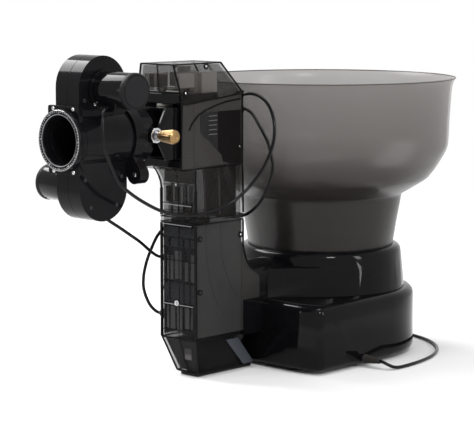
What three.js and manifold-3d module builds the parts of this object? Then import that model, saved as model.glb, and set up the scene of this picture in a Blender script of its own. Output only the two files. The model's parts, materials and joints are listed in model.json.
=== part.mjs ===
// Table tennis robot: a ball bowl on a round base, a hollow clear column
// and a throwing head whose two wheels swing, tilt and spin about the barrel.
// Millimetres. The robot faces -Y, its left side is +X and +Z is up.
// The pieces are worked out about the bowl's axis and then set so that the box's bottom centre is the origin.
import * as THREE from "three";
import { mergeVertices } from "three/addons/utils/BufferGeometryUtils.js";
import Module from "manifold-3d";

const wasm = await Module();
wasm.setup();

// Clearances, walls and counts
const seatGap = 0.3; // between pieces that touch
const runGap = 0.8; // between pieces that turn past each other
const overrun = 6; // how far a cutting tool passes the face that it cuts
const weld = 0.0001;
const clearWall = 2.2; // clear column shells
const baseWall = 2.6; // black base mouldings
const bowlWall = 2.2;
const roundSteps = 44; // sides of the bowl and the base
const barrelSteps = 28; // sides of the barrel, the wheels and the motors
const smallRound = 16; // sides of a pin or knob
const filletSteps = 3;

// Ball way: the hollow that the balls travel through
const ballSize = 40;
const ballPlay = 3.4;
const ballWay = ballSize + ballPlay;
const halfWay = ballWay / 2;
const barrelHeight = 242; // middle of the barrel, half way between the wheels

// Bowl: height over the collar's top and radius, bottom to rim
const neckRadius = 75.7;
const neckTopRadius = 83.9;
const neckHeight = 52;
const shoulderHeight = 102.6;
const rimRadius = 138.9;
const rimFlare = 7.2; // how far the rim stands out past the shoulder
const shoulderRadius = rimRadius - rimFlare;
const rimHeight = 172.5;
const rimLip = 4.3;

// Base: a D-shaped lower tier with a nose, and a rounded collar above it
const footHeight = 3;
const baseRadius = 97.8;
const baseReach = 116; // bowl axis to the flat front
const baseTop = 68.4;
const baseEdge = 8;
const baseFootEdge = 6; // rounding of the lower edge
const baseLip = 1.2; // rim round the base plate
const baseCorner = 9;
const baseBow = 30; // where the front starts to curve back towards the corner
const cornerRun = 24; // how far in from each side the front starts to fall back
const cornerDrop = 5;
const noseBottom = 36;
const noseTop = 71;
const noseInner = 107.3; // where the raised nose ends, in front of the collar
const channelHalf = 20;
const collarFootRadius = 88;
const collarTopRadius = 83.4;
const collarTop = 112.4;
const collarEdge = 7;
const collarReach = 107; // bowl axis to the collar's flat front
const flankTop = 98.5; // top of the collar's flanks and of its nose
const flankEdge = 2.5;
const vaultRise = 7.5; // how far the roof over the ball way bows up
const gussetRise = 27.5; // clear gussets behind the column's back
const gussetRun = 16;
const ledgeThick = 3;
const neckSink = 5.4; // how deep the bowl's neck sits in the collar
const ledgeLip = 4;
const basinRadius = 78.5;
const basinFloor = 54;
const basinWall = 2.6;
const plateThick = 2.4;

// Column: two clear shells, a lower and an upper pair, that meet at a flanged seam
const columnWidth = ballWay + 2 * clearWall;
const halfColumn = columnWidth / 2;
const bowlGap = 3.1; // bowl's rim to the column's back
const columnReach = rimRadius + bowlGap; // bowl axis to the column's back
const columnDepth = 67;
const columnFront = -(columnReach + columnDepth);
const columnBack = -columnReach;
const columnCorner = 2;
const seamHeight = 154.6;
const flangeTall = 2.6;
const flangeProud = 0.8;
const chinTop = 38.4;
const chinInset = 9.3; // how far each side of the chin draws in
const chinSlope = 12.2; // how far the chin's front slopes back
const chinTail = 25.4; // how far the chin's foot runs back under the nose
const braceWide = 18;
const braceProud = 1.2;

// Ball duct inside the column
const ductFloor = 59;
const bendRadius = 56.2; // outer wall of the elbow
const frontBay = 13.5; // front face to the duct's front wall
const ductWall = 1.8;
const cheekWall = 1;
const bendY = columnFront + frontBay + bendRadius;
const bendZ = ductFloor + bendRadius;
const innerBend = bendRadius - ballWay;
const turnRadius = 55.4; // outer wall of the upper turn
const innerTurn = turnRadius - ballWay;

// Upper column, swing opening and hood
const flareDrop = 57; // barrel's axis down to the foot of the flare
const flareStart = barrelHeight - flareDrop;
const sillDrop = 36;
const sillHeight = barrelHeight - sillDrop;
const flareWide = 6;
const flareDeep = 5.5;
const openWidth = 60;
const edgeRun = 9; // how far back the opening's side edges are thinned
const openReach = 25; // how far the side panels stand in front of the column
const creaseRise = 35; // barrel's axis up to the crease round the hood
const creaseHeight = barrelHeight + creaseRise;
const hoodRise = 65;
const hoodTop = barrelHeight + hoodRise;
const hoodTopHalf = 22.3;
const hoodBackHalf = 19;
const hoodFrontLean = 3;
const hoodBackLean = 24;
const backHalf = 25;
const backInset = 2;
const platformThick = 7;
const capRise = 27.3;
const capThick = 9.7;
const capBottom = barrelHeight + capRise;
const capTop = capBottom + capThick;

// Swing bracket, tilt pivot and swing drive
const yawSetback = 17; // swing axis in front of the column's front face
const yawY = columnFront - yawSetback;
const bracketHalf = 24.6;
const bracketWall = 2.2;
const bracketPlate = 2.6;
const bracketRear = 4; // ears' rear edges in front of the swing axis
const bracketFront = 22.6; // plates' front edges in front of the swing axis
const plateNose = 13;
const tiltReach = 36.5; // swing axis to the tilt axis
const tiltY = yawY - tiltReach;
const earRound = 7.5;
const pinRadius = 3;
const pinCollar = 8;
const sectorPitch = 20;
const swingRatio = 4;
const toothDepth = 1.6;
const gearThick = 4;
const sectorTeeth = 48;
const sectorStart = 37.5; // degrees, so that the gap in its middle faces the pinion
const sectorEnd = 180 - sectorStart;
const swingBox = 26;
const swingBoxDeep = 13;

// Throwing head
const barrelRadius = 27;
const boreRadius = 22.3;
const rearBarrelLength = 15;
const clampWide = 11;
const clampRadius = 29.5;
const clampPlay = 0.3;
const lugReach = 42.6;
const lugRound = 9;
const lugTurn = -54; // degrees from +X, in the plane across the barrel
const spigotLength = 9;
const housingHalf = 16;
const housingRound = 29;
const housingRise = 47;
const wheelRise = 45;
const wheelRadius = 25.6;
const wheelHalf = 9;
const wheelPlay = 1.3;
const hubRadius = 19;
const shaftRadius = 2.5;
const motorRadius = 16.8;
const motorLength = 45;
const motorFlange = 18.5;
const motorFlangeThick = 3;
const terminalStart = 18;
const terminalLong = 12;
const terminalReach = 13.5;
const terminalTall = 1.8;
const muzzlePlateHalf = 21;
const muzzlePlateTall = 62.5;
const muzzlePlateThick = 4.7;
const muzzleRingRadius = 28.5;
const muzzleRingLength = 5.7;
const muzzleBore = 23.2;

// Thumb screw and rivet at the tilt pivot
const washerRadius = 7.2;
const washerThick = 1.8;
const knobLength = 25;
const knobNeck = 4.2;
const knobRadius = 6.8;
const knobFlutes = 14;
const knobFlute = 0.5;
const rivetHead = 6;

// Feed disc, agitator and gear motor in the base
const discPlay = 1.5;
const discThick = 3.5;
const armTall = 24;
const armThick = 6;
const armCount = 5;
const armRoot = 26;
const coneTall = 42;
const fingerReach = 46;
const fingerRadius = 3.2;
const feedShaftRadius = 4;
const gearboxRadius = 30;
const gearboxTall = 24;
const canRadius = 17;
const canTall = 12;

// Control board behind the column's front face
const boardThick = 1.6;
const boardHalf = 18.5;
const boardBottom = 62;
const boardTop = 147;
const boardStandoff = 2.6;
const chipTall = 3.4;

// Feet
const padFoot = 2.7;
const frontPadStart = 23;
const frontPadLong = 37;
const padDeep = 14;
const padInset = 5;
const rearPadTurn = 42; // degrees round the base's back

// Glands and leads
const glandRadius = 5;
const glandNeck = 2.8;
const glandLength = 7;
const upperGlandSetback = 10.5; // behind the column's front face
const upperGlandHeight = 114.5;
const lowerGlandSetback = 6.5;
const lowerGlandHeight = 59.5;
const bootNear = 13; // from the middle plane
const bootFar = 20.5;
const bootDeep = 6.4;
const bootTall = 7;
const upperBootRise = 32.6; // over the barrel's axis
const lowerBootRise = 18;
const leadRadius = 1.6;
const cordRadius = 1.65;
const cordExitY = -44;
const cordExitHeight = 8;
const reliefLength = 20;
const reliefRadius = 4.6;
const plugEntry = 5;
const plugHalf = 11;
const plugNeck = 14;
const plugNeckRound = 4;
const plugEndRound = 3;
const plugLong = 34;
const plugThick = 14;
const pinThick = 2;
const pinLong = 18;
const pinApart = 6.5;
const leadSides = 8;

// Spare cord: four layers of turns that spiral in, out, in and out
const coilX = -95;
const coilY = 98;
const coilTurns = 11.25;
const coilLayers = 4;
const coilPitch = 3.85;
const coilOuter = 25.2;
const coilSteps = 24;
const coilTail = 34;
const plugHeight = 8;

// Materials
const material = (color, roughness, metalness = 0, opacity = 1) =>
  new THREE.MeshStandardMaterial({ color, roughness, metalness, opacity, transparent: opacity < 1 });
const glossBlack = material(0x0b0b0d, 0.14);
const satinBlack = material(0x17171a, 0.45);
const smoke = material(0x3a3836, 0.12, 0, 0.55);
const frosted = material(0x8d8580, 0.35, 0, 0.5);
const rubber = material(0x15120f, 0.85);
const brass = material(0xb88a3c, 0.3, 1);
const steel = material(0xc4c6c8, 0.25, 1);
const greyPlastic = material(0x8b8780, 0.5);
const boardGreen = material(0x24442e, 0.5);
const tyreGrey = material(0x35302c, 0.8);
const cordBlack = material(0x0e0e10, 0.4);

// Solids: three.js geometry closed by merging its vertices, then joined and cut
function solid(geometry) {
  for (const name of ["normal", "uv"]) geometry.deleteAttribute(name);
  const merged = mergeVertices(geometry, weld);
  const triVerts = new Uint32Array(merged.index.array);
  const build = () =>
    new wasm.Manifold(
      new wasm.Mesh({ numProp: 3, vertProperties: merged.attributes.position.array, triVerts }),
    );
  const made = build();
  if (made.volume() > 0) return made;
  for (let i = 0; i < triVerts.length; i += 3) {
    [triVerts[i + 1], triVerts[i + 2]] = [triVerts[i + 2], triVerts[i + 1]];
  }
  return build();
}

function join(...parts) {
  return parts.reduce((whole, part) => whole.add(part));
}

function cut(body, ...tools) {
  return tools.reduce((left, tool) => left.subtract(tool), body);
}

function box(x0, x1, y0, y1, z0, z1) {
  const geometry = new THREE.BoxGeometry(x1 - x0, y1 - y0, z1 - z0);
  return solid(geometry.translate((x0 + x1) / 2, (y0 + y1) / 2, (z0 + z1) / 2));
}

const point = (u, v) => new THREE.Vector2(u, v);

// Corners [u, v, radius] joined by straight sides, each rounded by an arc that touches both
function filleted(corners, steps = filletSteps) {
  const out = [];
  corners.forEach(([u, v, radius = 0], i) => {
    const here = point(u, v);
    if (radius <= 0) {
      out.push(here);
      return;
    }
    const last = corners[(i + corners.length - 1) % corners.length];
    const next = corners[(i + 1) % corners.length];
    const a = point(last[0], last[1]).sub(here).normalize();
    const b = point(next[0], next[1]).sub(here).normalize();
    const half = Math.acos(THREE.MathUtils.clamp(a.dot(b), -1, 1)) / 2;
    const start = here.clone().addScaledVector(a, radius / Math.tan(half));
    const end = here.clone().addScaledVector(b, radius / Math.tan(half));
    const middle = a.clone().add(b).normalize();
    const centre = here.clone().addScaledVector(middle, radius / Math.sin(half));
    const from = start.sub(centre);
    const to = end.sub(centre);
    const sweep = Math.atan2(from.cross(to), from.dot(to));
    for (let k = 0; k <= steps; k++) {
      out.push(from.clone().rotateAround(point(0, 0), (sweep * k) / steps).add(centre));
    }
  });
  return out;
}

function arc(cu, cv, radius, fromDegrees, toDegrees, steps) {
  return Array.from({ length: steps + 1 }, (_, k) => {
    const turn = THREE.MathUtils.degToRad(fromDegrees + ((toDegrees - fromDegrees) * k) / steps);
    return point(cu + radius * Math.cos(turn), cv + radius * Math.sin(turn));
  });
}

function extruded(points, depth) {
  return new THREE.ExtrudeGeometry(new THREE.Shape(points), { depth, bevelEnabled: false });
}

const axis = (x, y, z) => new THREE.Vector3(x, y, z);

// Outline in (X, Y), pushed along Z
function prismZ(points, z0, z1) {
  return solid(extruded(points, z1 - z0).translate(0, 0, z0));
}

// Outline in (Y, Z), pushed along X
function prismX(points, x0, x1) {
  const turn = new THREE.Matrix4().makeBasis(axis(0, 1, 0), axis(0, 0, 1), axis(1, 0, 0));
  return solid(extruded(points, x1 - x0).applyMatrix4(turn).translate(x0, 0, 0));
}

// Outline in (X, Z), pushed along Y
function prismY(points, y0, y1) {
  const turn = new THREE.Matrix4().makeBasis(axis(1, 0, 0), axis(0, 0, 1), axis(0, -1, 0));
  return solid(extruded(points, y1 - y0).applyMatrix4(turn).translate(0, y1, 0));
}

// Profile of [radius, height] turned about an axis through (x, y, z)
function turned(profile, along, [x, y, z], steps = roundSteps) {
  const geometry = new THREE.LatheGeometry(profile.map(([r, h]) => point(r, h)), steps);
  if (along === "z") geometry.rotateX(Math.PI / 2);
  if (along === "x") geometry.rotateZ(-Math.PI / 2);
  return solid(geometry.translate(x, y, z));
}

function rod(radius, from, to, along, centre, steps = smallRound) {
  return turned([[0, from], [radius, from], [radius, to], [0, to]], along, centre, steps);
}

function pipe(inner, outer, from, to, along, centre, steps = barrelSteps) {
  const profile = [[inner, from], [outer, from], [outer, to], [inner, to], [inner, from]];
  return turned(profile, along, centre, steps);
}

// Rings of points skinned one after the other: level rings get flat ends, others a fan of triangles
function loft(rings, level = true) {
  const count = rings[0].length;
  const positions = rings.flat().flatMap((p) => [p.x, p.y, p.z]);
  const index = [];
  for (let r = 0; r + 1 < rings.length; r++) {
    for (let k = 0; k < count; k++) {
      const a = r * count + k;
      const b = r * count + ((k + 1) % count);
      index.push(a, b, b + count, a, b + count, a + count);
    }
  }
  const last = (rings.length - 1) * count;
  const fan = Array.from({ length: count - 2 }, (_, k) => [0, k + 1, k + 2]);
  const flat = (ring) => THREE.ShapeUtils.triangulateShape(ring.map((p) => point(p.x, p.y)), []);
  const ends = (ring) => (level ? flat(ring) : fan);
  for (const [a, b, c] of ends(rings[0])) index.push(a, c, b);
  for (const [a, b, c] of ends(rings.at(-1))) index.push(last + a, last + b, last + c);
  const geometry = new THREE.BufferGeometry();
  geometry.setAttribute("position", new THREE.Float32BufferAttribute(positions, 3));
  geometry.setIndex(index);
  return solid(geometry);
}

const raised = (points, z) => points.map((p) => axis(p.x, p.y, z));

// A round tube through points, stepped evenly along its length
function tube(points, radius, sides, steps) {
  const path = new THREE.CatmullRomCurve3(points.map(([x, y, z]) => axis(x, y, z)), false, "centripetal");
  const section = new THREE.Shape(arc(0, 0, radius, 0, 360 - 360 / sides, sides - 1));
  return solid(new THREE.ExtrudeGeometry(section, { steps, extrudePath: path, bevelEnabled: false }));
}

// The group that holds every piece, worked out about the bowl's axis
const robot = new THREE.Group();
const muzzleFront = muzzleEnd();
robot.position.y = -(muzzleFront + rimRadius) / 2;

function add(name, body, look) {
  const mesh = body.getMesh();
  const geometry = new THREE.BufferGeometry();
  geometry.setAttribute("position", new THREE.BufferAttribute(mesh.vertProperties, 3));
  geometry.setIndex(new THREE.BufferAttribute(mesh.triVerts, 1));
  geometry.computeVertexNormals();
  const piece = new THREE.Mesh(geometry, look);
  piece.name = name;
  robot.add(piece);
}

// Places along the barrel, from the tilt axis forward
function barrelRear() {
  return tiltY - runGap * 3;
}

function clampRear() {
  return barrelRear() - rearBarrelLength;
}

function housingRear() {
  return clampRear() - clampWide - seatGap;
}

function wheelY() {
  return housingRear() - housingRound;
}

function housingFront() {
  return housingRear() - 2 * housingRound;
}

function plateFront() {
  return housingFront() - seatGap - muzzlePlateThick;
}

function muzzleEnd() {
  return plateFront() - seatGap - muzzleRingLength;
}

// Base
function baseOutline(inset) {
  const r = baseRadius - inset;
  const front = -baseReach + inset;
  const corner = baseCorner - inset / 2;
  const bow = baseBow - inset / 2;
  const side = [[r, front + cornerDrop, corner], [r - cornerRun, front, bow]];
  const mirrored = side.map(([x, y, round]) => [-x, y, round]);
  const rounded = filleted([[-r, 0], mirrored[0], mirrored[1], side[1], side[0], [r, 0]]);
  return [...rounded.slice(1, -1), ...arc(0, 0, r, 0, 180, roundSteps / 2)];
}

function edgeRings(outline, top, edge, steps = filletSteps) {
  return Array.from({ length: steps + 1 }, (_, k) => {
    const turn = ((Math.PI / 2) * k) / steps;
    return raised(outline(edge * (1 - Math.cos(turn))), top - edge + edge * Math.sin(turn));
  });
}

function addBase() {
  const sole = edgeRings(baseOutline, 0, baseFootEdge)
    .map((ring) => ring.map((p) => axis(p.x, p.y, footHeight - p.z)))
    .reverse();
  const outer = loft([...sole, ...edgeRings(baseOutline, baseTop, baseEdge)]);
  const plateInset = baseFootEdge + baseLip;
  const hollow = join(
    prismZ(baseOutline(baseWall), footHeight + baseFootEdge, baseTop - baseWall),
    prismZ(baseOutline(plateInset), footHeight - overrun, footHeight + baseFootEdge + seatGap),
  );
  const bowlAxis = [0, 0, 0];
  const basinOutside = basinRadius + basinWall;
  const basinBody = rod(basinOutside, basinFloor - basinWall, baseTop, "z", bowlAxis, roundSteps);
  const nose = box(-halfColumn, halfColumn, columnBack + seatGap, -noseInner, noseBottom, noseTop);
  const noseFill = box(-halfColumn, halfColumn, -baseReach, -noseInner, noseBottom, baseTop - baseWall);
  const wayWall = channelHalf + baseWall;
  const wayBody = box(-wayWall, wayWall, -baseReach, -basinRadius, ductFloor - baseWall, baseTop);
  const shell = join(cut(outer, cut(hollow, basinBody, noseFill, wayBody)), nose);
  const basin = rod(basinRadius, basinFloor, baseTop + overrun, "z", [0, 0, 0], roundSteps);
  const way = box(-channelHalf, channelHalf, columnBack - overrun, 0, ductFloor, noseTop + overrun);
  const shaftHole = rod(feedShaftRadius + runGap, 0, basinFloor + overrun, "z", [0, 0, 0]);
  const cordHole = rod(glandNeck + seatGap, 0, baseRadius + overrun, "x", [0, cordExitY, cordExitHeight]);
  add("base_housing", cut(shell, basin, way, shaftHole, cordHole), glossBlack);

  const plate = prismZ(baseOutline(plateInset + seatGap), footHeight, footHeight + plateThick);
  add("base_plate", plate, satinBlack);
}

// The collar's plan: a round that runs out in two straight flanks to a flat front
function collarOutline(radius, inset) {
  const px = halfColumn - inset;
  const py = -collarReach + inset;
  const reach = Math.hypot(px, py);
  const start = Math.atan2(py, px) + Math.acos(radius / reach);
  const degrees = THREE.MathUtils.radToDeg(start);
  return [point(-px, py), point(px, py), ...arc(0, 0, radius, degrees, 180 - degrees, barrelSteps)];
}

// The gussets' curve, from the column's back down to the nose, as shares of their run and rise
function gussetCurve() {
  const shares = [[0, 1], [0.1, 0.78], [0.28, 0.5], [0.5, 0.27], [0.75, 0.09], [1, 0]];
  return shares.map(([s, t]) => point(columnBack + seatGap + gussetRun * s, flankTop + gussetRise * t));
}

// The ball way through the nose: upright sides under a round roof
function wayArch() {
  const spring = ductFloor + halfWay;
  return [point(-halfWay, 0), point(halfWay, 0), ...arc(0, spring, halfWay, 0, 180, 12)];
}

function addCollar() {
  const bottom = baseTop + seatGap;
  const ease = (z) => {
    const t = (z - bottom) / (collarTop - bottom);
    return collarFootRadius + (collarTopRadius - collarFootRadius) * t;
  };
  const brow = flankTop - flankEdge;
  const flanks = [
    raised(collarOutline(ease(bottom), 0), bottom),
    raised(collarOutline(ease(brow), 0), brow),
    raised(collarOutline(ease(flankTop) - flankEdge * 0.3, flankEdge * 0.3), brow + flankEdge * 0.7),
    raised(collarOutline(ease(flankTop) - flankEdge, flankEdge), flankTop),
  ];
  const shoulder = collarTop - collarEdge;
  const rim = arc(ease(shoulder) - collarEdge, shoulder, collarEdge, 0, 90, filletSteps + 1);
  const profile = [[0, bottom], [ease(bottom), bottom], ...rim.map((p) => [p.x, p.y]), [0, collarTop]];
  const bowlAxis = [0, 0, 0];
  const ring = turned(profile, "z", bowlAxis, roundSteps);

  // Roof over the ball way: a low vault that meets the column between the gussets
  const spread = (halfColumn * halfColumn + vaultRise * vaultRise) / (2 * vaultRise);
  const sweep = THREE.MathUtils.radToDeg(Math.asin(halfColumn / spread));
  const vault = [
    point(halfColumn, flankTop - flankEdge * 2),
    ...arc(0, flankTop + vaultRise - spread, spread, 90 - sweep, 90 + sweep, 8),
    point(-halfColumn, flankTop - flankEdge * 2),
  ];
  const between = halfColumn - clearWall - seatGap;
  const back = columnBack + seatGap;
  const wayTop = ductFloor + ballWay;
  const narrow = box(-between, between, back, -collarReach, ductFloor + halfWay, collarTop);
  const roof = join(
    prismY(vault, -collarReach, -neckRadius),
    prismY(vault, back, -collarReach + seatGap).intersect(narrow),
  );
  const saddleFoot = wayTop - overrun;
  const front = -collarReach + seatGap;
  const saddle = [point(back, saddleFoot), point(front, saddleFoot), point(front, flankTop)];
  saddle.push(...gussetCurve().reverse());
  const nose = prismX(saddle, -between, between);

  const ledge = collarTop - neckSink - ledgeThick;
  const hollow = join(
    loft([bottom - overrun, brow - ledgeThick].map((z) => {
      return raised(collarOutline(ease(z) - baseWall, baseWall), z);
    })),
    rod(ease(collarTop) - baseWall, bottom - overrun, ledge, "z", bowlAxis, roundSteps),
  );
  const high = collarTop + overrun;
  const way = prismY(wayArch(), columnBack - overrun, -basinRadius + overrun);
  const neckSeat = rod(neckRadius + seatGap, ledge + ledgeThick, high, "z", bowlAxis, roundSteps);
  const mouth = rod(neckRadius - ledgeLip, 0, high, "z", bowlAxis, roundSteps);
  const body = cut(join(loft(flanks), ring, roof, nose), hollow, way, neckSeat, mouth);
  add("base_collar", body, glossBlack);
}

// Bowl
function addBowl() {
  const foot = collarTop - neckSink + seatGap;
  const spread = shoulderRadius - neckTopRadius;
  const rise = shoulderHeight - neckHeight;
  // Shares of the shoulder's spread and rise
  const shoulderShares = [
    [0.06, 0.04], [0.17, 0.12], [0.37, 0.22], [0.58, 0.34], [0.71, 0.51], [0.85, 0.73],
  ];
  const wallShares = [[0.3, 0.62], [0.58, 0.91]];
  const outer = [
    [neckRadius, foot],
    [neckRadius, collarTop],
    [neckRadius + (neckTopRadius - neckRadius) * 0.42, collarTop + neckHeight * 0.45],
    [neckTopRadius, collarTop + neckHeight],
    ...shoulderShares.map(([s, t]) => [neckTopRadius + spread * s, collarTop + neckHeight + rise * t]),
    [shoulderRadius, collarTop + shoulderHeight],
    ...wallShares.map(([s, t]) => [
      shoulderRadius + (rimRadius - rimLip - shoulderRadius) * s * 1.6,
      collarTop + shoulderHeight + (rimHeight - shoulderHeight) * t,
    ]),
    [rimRadius, collarTop + rimHeight],
  ];
  const inner = outer.map(([r, h], i) => {
    const before = outer[Math.max(i - 1, 0)];
    const after = outer[Math.min(i + 1, outer.length - 1)];
    const length = Math.hypot(after[0] - before[0], after[1] - before[1]);
    const nr = (after[1] - before[1]) / length;
    const nh = (after[0] - before[0]) / length;
    const end = i === 0 || i === outer.length - 1;
    return [r - bowlWall * (end ? 1 : nr), end ? h : h + bowlWall * nh];
  });
  const profile = [...outer, ...inner.reverse(), outer[0]];
  add("ball_bowl", turned(profile, "z", [0, 0, 0], roundSteps), frosted);
}

// Column
function columnOutline(frontHalf, rearHalf, front, back, c = columnCorner) {
  return filleted(
    [[-frontHalf, front, c], [frontHalf, front, c], [rearHalf, back, c], [-rearHalf, back, c]],
    2,
  );
}

function cornerFor(inset) {
  return inset > 0 ? seatGap : columnCorner;
}

function halves(name, whole, look) {
  const far = rimRadius * 2;
  const low = footHeight - overrun;
  const high = barrelHeight + housingRise + housingRound + overrun;
  const side = (x0, x1) => box(x0, x1, -far * 2, far, low, high);
  add(name + "_left", whole.intersect(side(seatGap / 2, far)), look);
  add(name + "_right", whole.intersect(side(-far, -seatGap / 2)), look);
}

// The rim that each half of the column has along the seam
function flangeOutline() {
  const half = halfColumn + flangeProud;
  return columnOutline(half, half, columnFront - flangeProud, columnBack);
}

function addLowerColumn() {
  const top = seamHeight - seatGap / 2;
  const chinFront = columnFront + chinSlope;
  const chinBack = columnBack + chinTail;
  const chinHalf = halfColumn - chinInset;
  const chinDrop = chinTop - noseBottom + seatGap;
  const ring = (inset, z, front, back, half) =>
    raised(columnOutline(half - inset, half - inset, front + inset, back - inset, cornerFor(inset)), z);
  const straight = (inset, z) => ring(inset, z, columnFront, columnBack, halfColumn);
  const eased = (inset, z) =>
    ring(inset, z, columnFront + chinSlope / 12, columnBack - braceWide / 2, halfColumn - chinInset / 12);
  const rings = (inset) => [
    ring(inset, footHeight + inset, chinFront, chinBack, chinHalf),
    eased(inset, chinTop - chinDrop),
    straight(inset, chinTop),
  ];
  const outer = loft([...rings(0), straight(0, top)]);
  const inner = loft([...rings(clearWall), straight(clearWall, top + overrun)]);
  const flange = prismZ(flangeOutline(), top - flangeTall, top);
  // Side walls that carry on past the back, beside the ball way, and rise to the back in a gusset
  const ductTop = ductFloor + ballWay;
  const low = noseTop + seatGap;
  const web = [
    point(columnBack - clearWall, low),
    point(-collarReach - seatGap, low),
    point(-collarReach - seatGap, flankTop),
    ...gussetCurve().reverse(),
    point(columnBack - clearWall, flankTop + gussetRise),
  ];
  const webs = join(
    prismX(web, halfColumn - clearWall, halfColumn),
    prismX(web, -halfColumn, -halfColumn + clearWall),
  );
  // Brace band along the slanting rear edge of each side of the chin
  const brace = [
    point(columnBack - braceWide / 2 - braceWide, chinTop - chinDrop),
    point(columnBack - braceWide / 2 - braceProud, chinTop - chinDrop),
    point(chinBack - braceProud * 2, footHeight + braceProud),
    point(chinBack - braceProud - braceWide, footHeight + braceProud),
  ];
  const wide = loft([
    ring(-braceProud, footHeight, chinFront, chinBack, chinHalf),
    ring(-braceProud, chinTop, columnFront, columnBack, halfColumn - seatGap),
  ]);
  const narrow = loft([
    ring(clearWall / 2, footHeight - overrun / 6, chinFront, chinBack, chinHalf - chinInset / 6),
    ring(clearWall / 2, chinTop + seatGap, columnFront, columnBack, halfColumn),
  ]);
  const bands = cut(prismX(brace, -halfColumn, halfColumn).intersect(wide), narrow);
  const exitFront = columnBack - clearWall * 2;
  const ballExit = box(-halfWay, halfWay, exitFront, columnBack + overrun, ductFloor, ductTop + innerBend);
  const body = join(cut(join(outer, flange), inner), webs, bands);
  halves("lower_shell", cut(body, ballExit), smoke);
}

function upperRing(z, inset) {
  const t = THREE.MathUtils.clamp((z - flareStart) / (sillHeight - flareStart), 0, 1);
  const flare = t * t;
  const half = halfColumn + flareWide * flare - inset;
  const rear = halfColumn + (backHalf - halfColumn) * t - inset;
  const front = columnFront - flareDeep * flare + inset;
  const back = columnBack - backInset * t - inset;
  return raised(columnOutline(half, rear, front, back, cornerFor(inset)), z);
}

function addUpperColumn() {
  const bottom = seamHeight + seatGap / 2;
  const openFront = columnFront - openReach;
  const back = columnBack - backInset;
  const flareShares = [0.3, 0.55, 0.78, 1];
  const flareZ = flareShares.map((t) => flareStart + (sillHeight - flareStart) * t);
  const hoodRing = (inset, half, rear, front, rearY, z) =>
    raised(columnOutline(half - inset, rear - inset, front + inset, rearY - inset, cornerFor(inset)), z);
  const skirt = (inset, z) => hoodRing(inset, openWidth / 2, backHalf, openFront, back, z);
  const crown = (inset, z) =>
    hoodRing(inset, hoodTopHalf, hoodBackHalf, openFront - hoodFrontLean, back - hoodBackLean, z);
  const hood = (inset) => [
    skirt(inset, sillHeight + seatGap + inset),
    skirt(inset, creaseHeight),
    crown(inset, hoodTop - inset),
  ];
  const stem = (inset, low) => [low, flareStart, ...flareZ].map((z) => upperRing(z, inset));
  const outer = loft([...stem(0, bottom), ...hood(0)]);
  const inner = join(
    loft(stem(clearWall, bottom - overrun)),
    loft([upperRing(sillHeight - seatGap, clearWall), upperRing(sillHeight + clearWall * 2, clearWall)]),
    loft(hood(clearWall)),
  );
  const flange = prismZ(flangeOutline(), bottom, bottom + flangeTall);
  const inHalf = openWidth / 2 - clearWall;
  const sill = sillHeight + clearWall + seatGap;
  const opening = box(-inHalf, inHalf, openFront - overrun, columnFront - flareDeep, sill, capTop - seatGap);
  // The opening's side edges are thinned inside, which gives the bracket room to swing
  const thin = [1, -1].map((way) => {
    const outline = [
      [inHalf - seatGap, openFront + edgeRun], [inHalf - seatGap, openFront - overrun],
      [inHalf + clearWall / 2, openFront - overrun], [inHalf + clearWall / 2, openFront],
    ];
    return prismZ(outline.map(([x, y]) => point(way * x, y)), sill, capBottom);
  });
  halves("upper_shell", cut(join(outer, flange), inner, opening, ...thin), smoke);
}

// Ball duct walls: curved strips that stand between the side shells
function strip(inner, outer) {
  const x = halfWay - seatGap;
  return prismX([...inner, ...outer.reverse()], -x, x);
}

function addDuct() {
  const split = seamHeight;
  const backStop = columnBack - clearWall - seatGap;
  const reachAngle = (radius) => 180 + THREE.MathUtils.radToDeg(Math.acos((bendY - backStop) / radius));
  const elbow = (r, end, steps) => [
    point(bendY - r, split - seatGap),
    ...arc(bendY, bendZ, r, 180, end, steps),
  ];
  const floorLine = (r) => elbow(r, reachAngle(r), 12);
  add("lower_duct_front", strip(floorLine(bendRadius), floorLine(bendRadius + ductWall)), smoke);

  const tight = innerBend - ductWall;
  const wallTurn = Math.acos(Math.min((bendY - backStop) / tight, 1));
  const rearArc = (r) => elbow(r, 180 + THREE.MathUtils.radToDeg(wallTurn), 6);
  add("lower_duct_rear", strip(rearArc(tight), rearArc(innerBend)), smoke);

  const turnY = columnFront + frontBay - innerTurn;
  const turnZ = barrelHeight - halfWay - innerTurn;
  const mouth = Math.min(yawY + plateNose + runGap * 2, turnY - seatGap);
  const turnLine = (r, steps) => [
    point(turnY + r, split + seatGap),
    ...arc(turnY, turnZ, r, 0, 90, steps),
    point(mouth, turnZ + r),
  ];
  add("upper_duct_front", strip(turnLine(innerTurn - ductWall, 8), turnLine(innerTurn, 8)), smoke);

  // Opaque deflector: a curved roof with cheeks, which turns the balls forward
  const roof = strip(turnLine(turnRadius, 12), turnLine(turnRadius + ductWall, 12));
  const cheekShares = [[0.02, 0.83], [0.22, 0.53], [0.42, 0.3], [0.6, 0.15], [0.8, 0.0], [0.98, -0.12]];
  const cheek = [
    ...cheekShares.map(([s, t]) => point(turnY + turnRadius * s, turnZ + turnRadius * t)),
    ...arc(turnY, turnZ, turnRadius + ductWall / 2, 0, 90, 12),
  ];
  const cheeks = [1, -1].map((side) => {
    const outside = halfWay - seatGap;
    const edges = [side * outside, side * (outside - cheekWall)].sort((a, b) => a - b);
    return prismX(cheek, edges[0], edges[1]);
  });
  add("ball_deflector", join(roof, ...cheeks), satinBlack);
}

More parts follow.
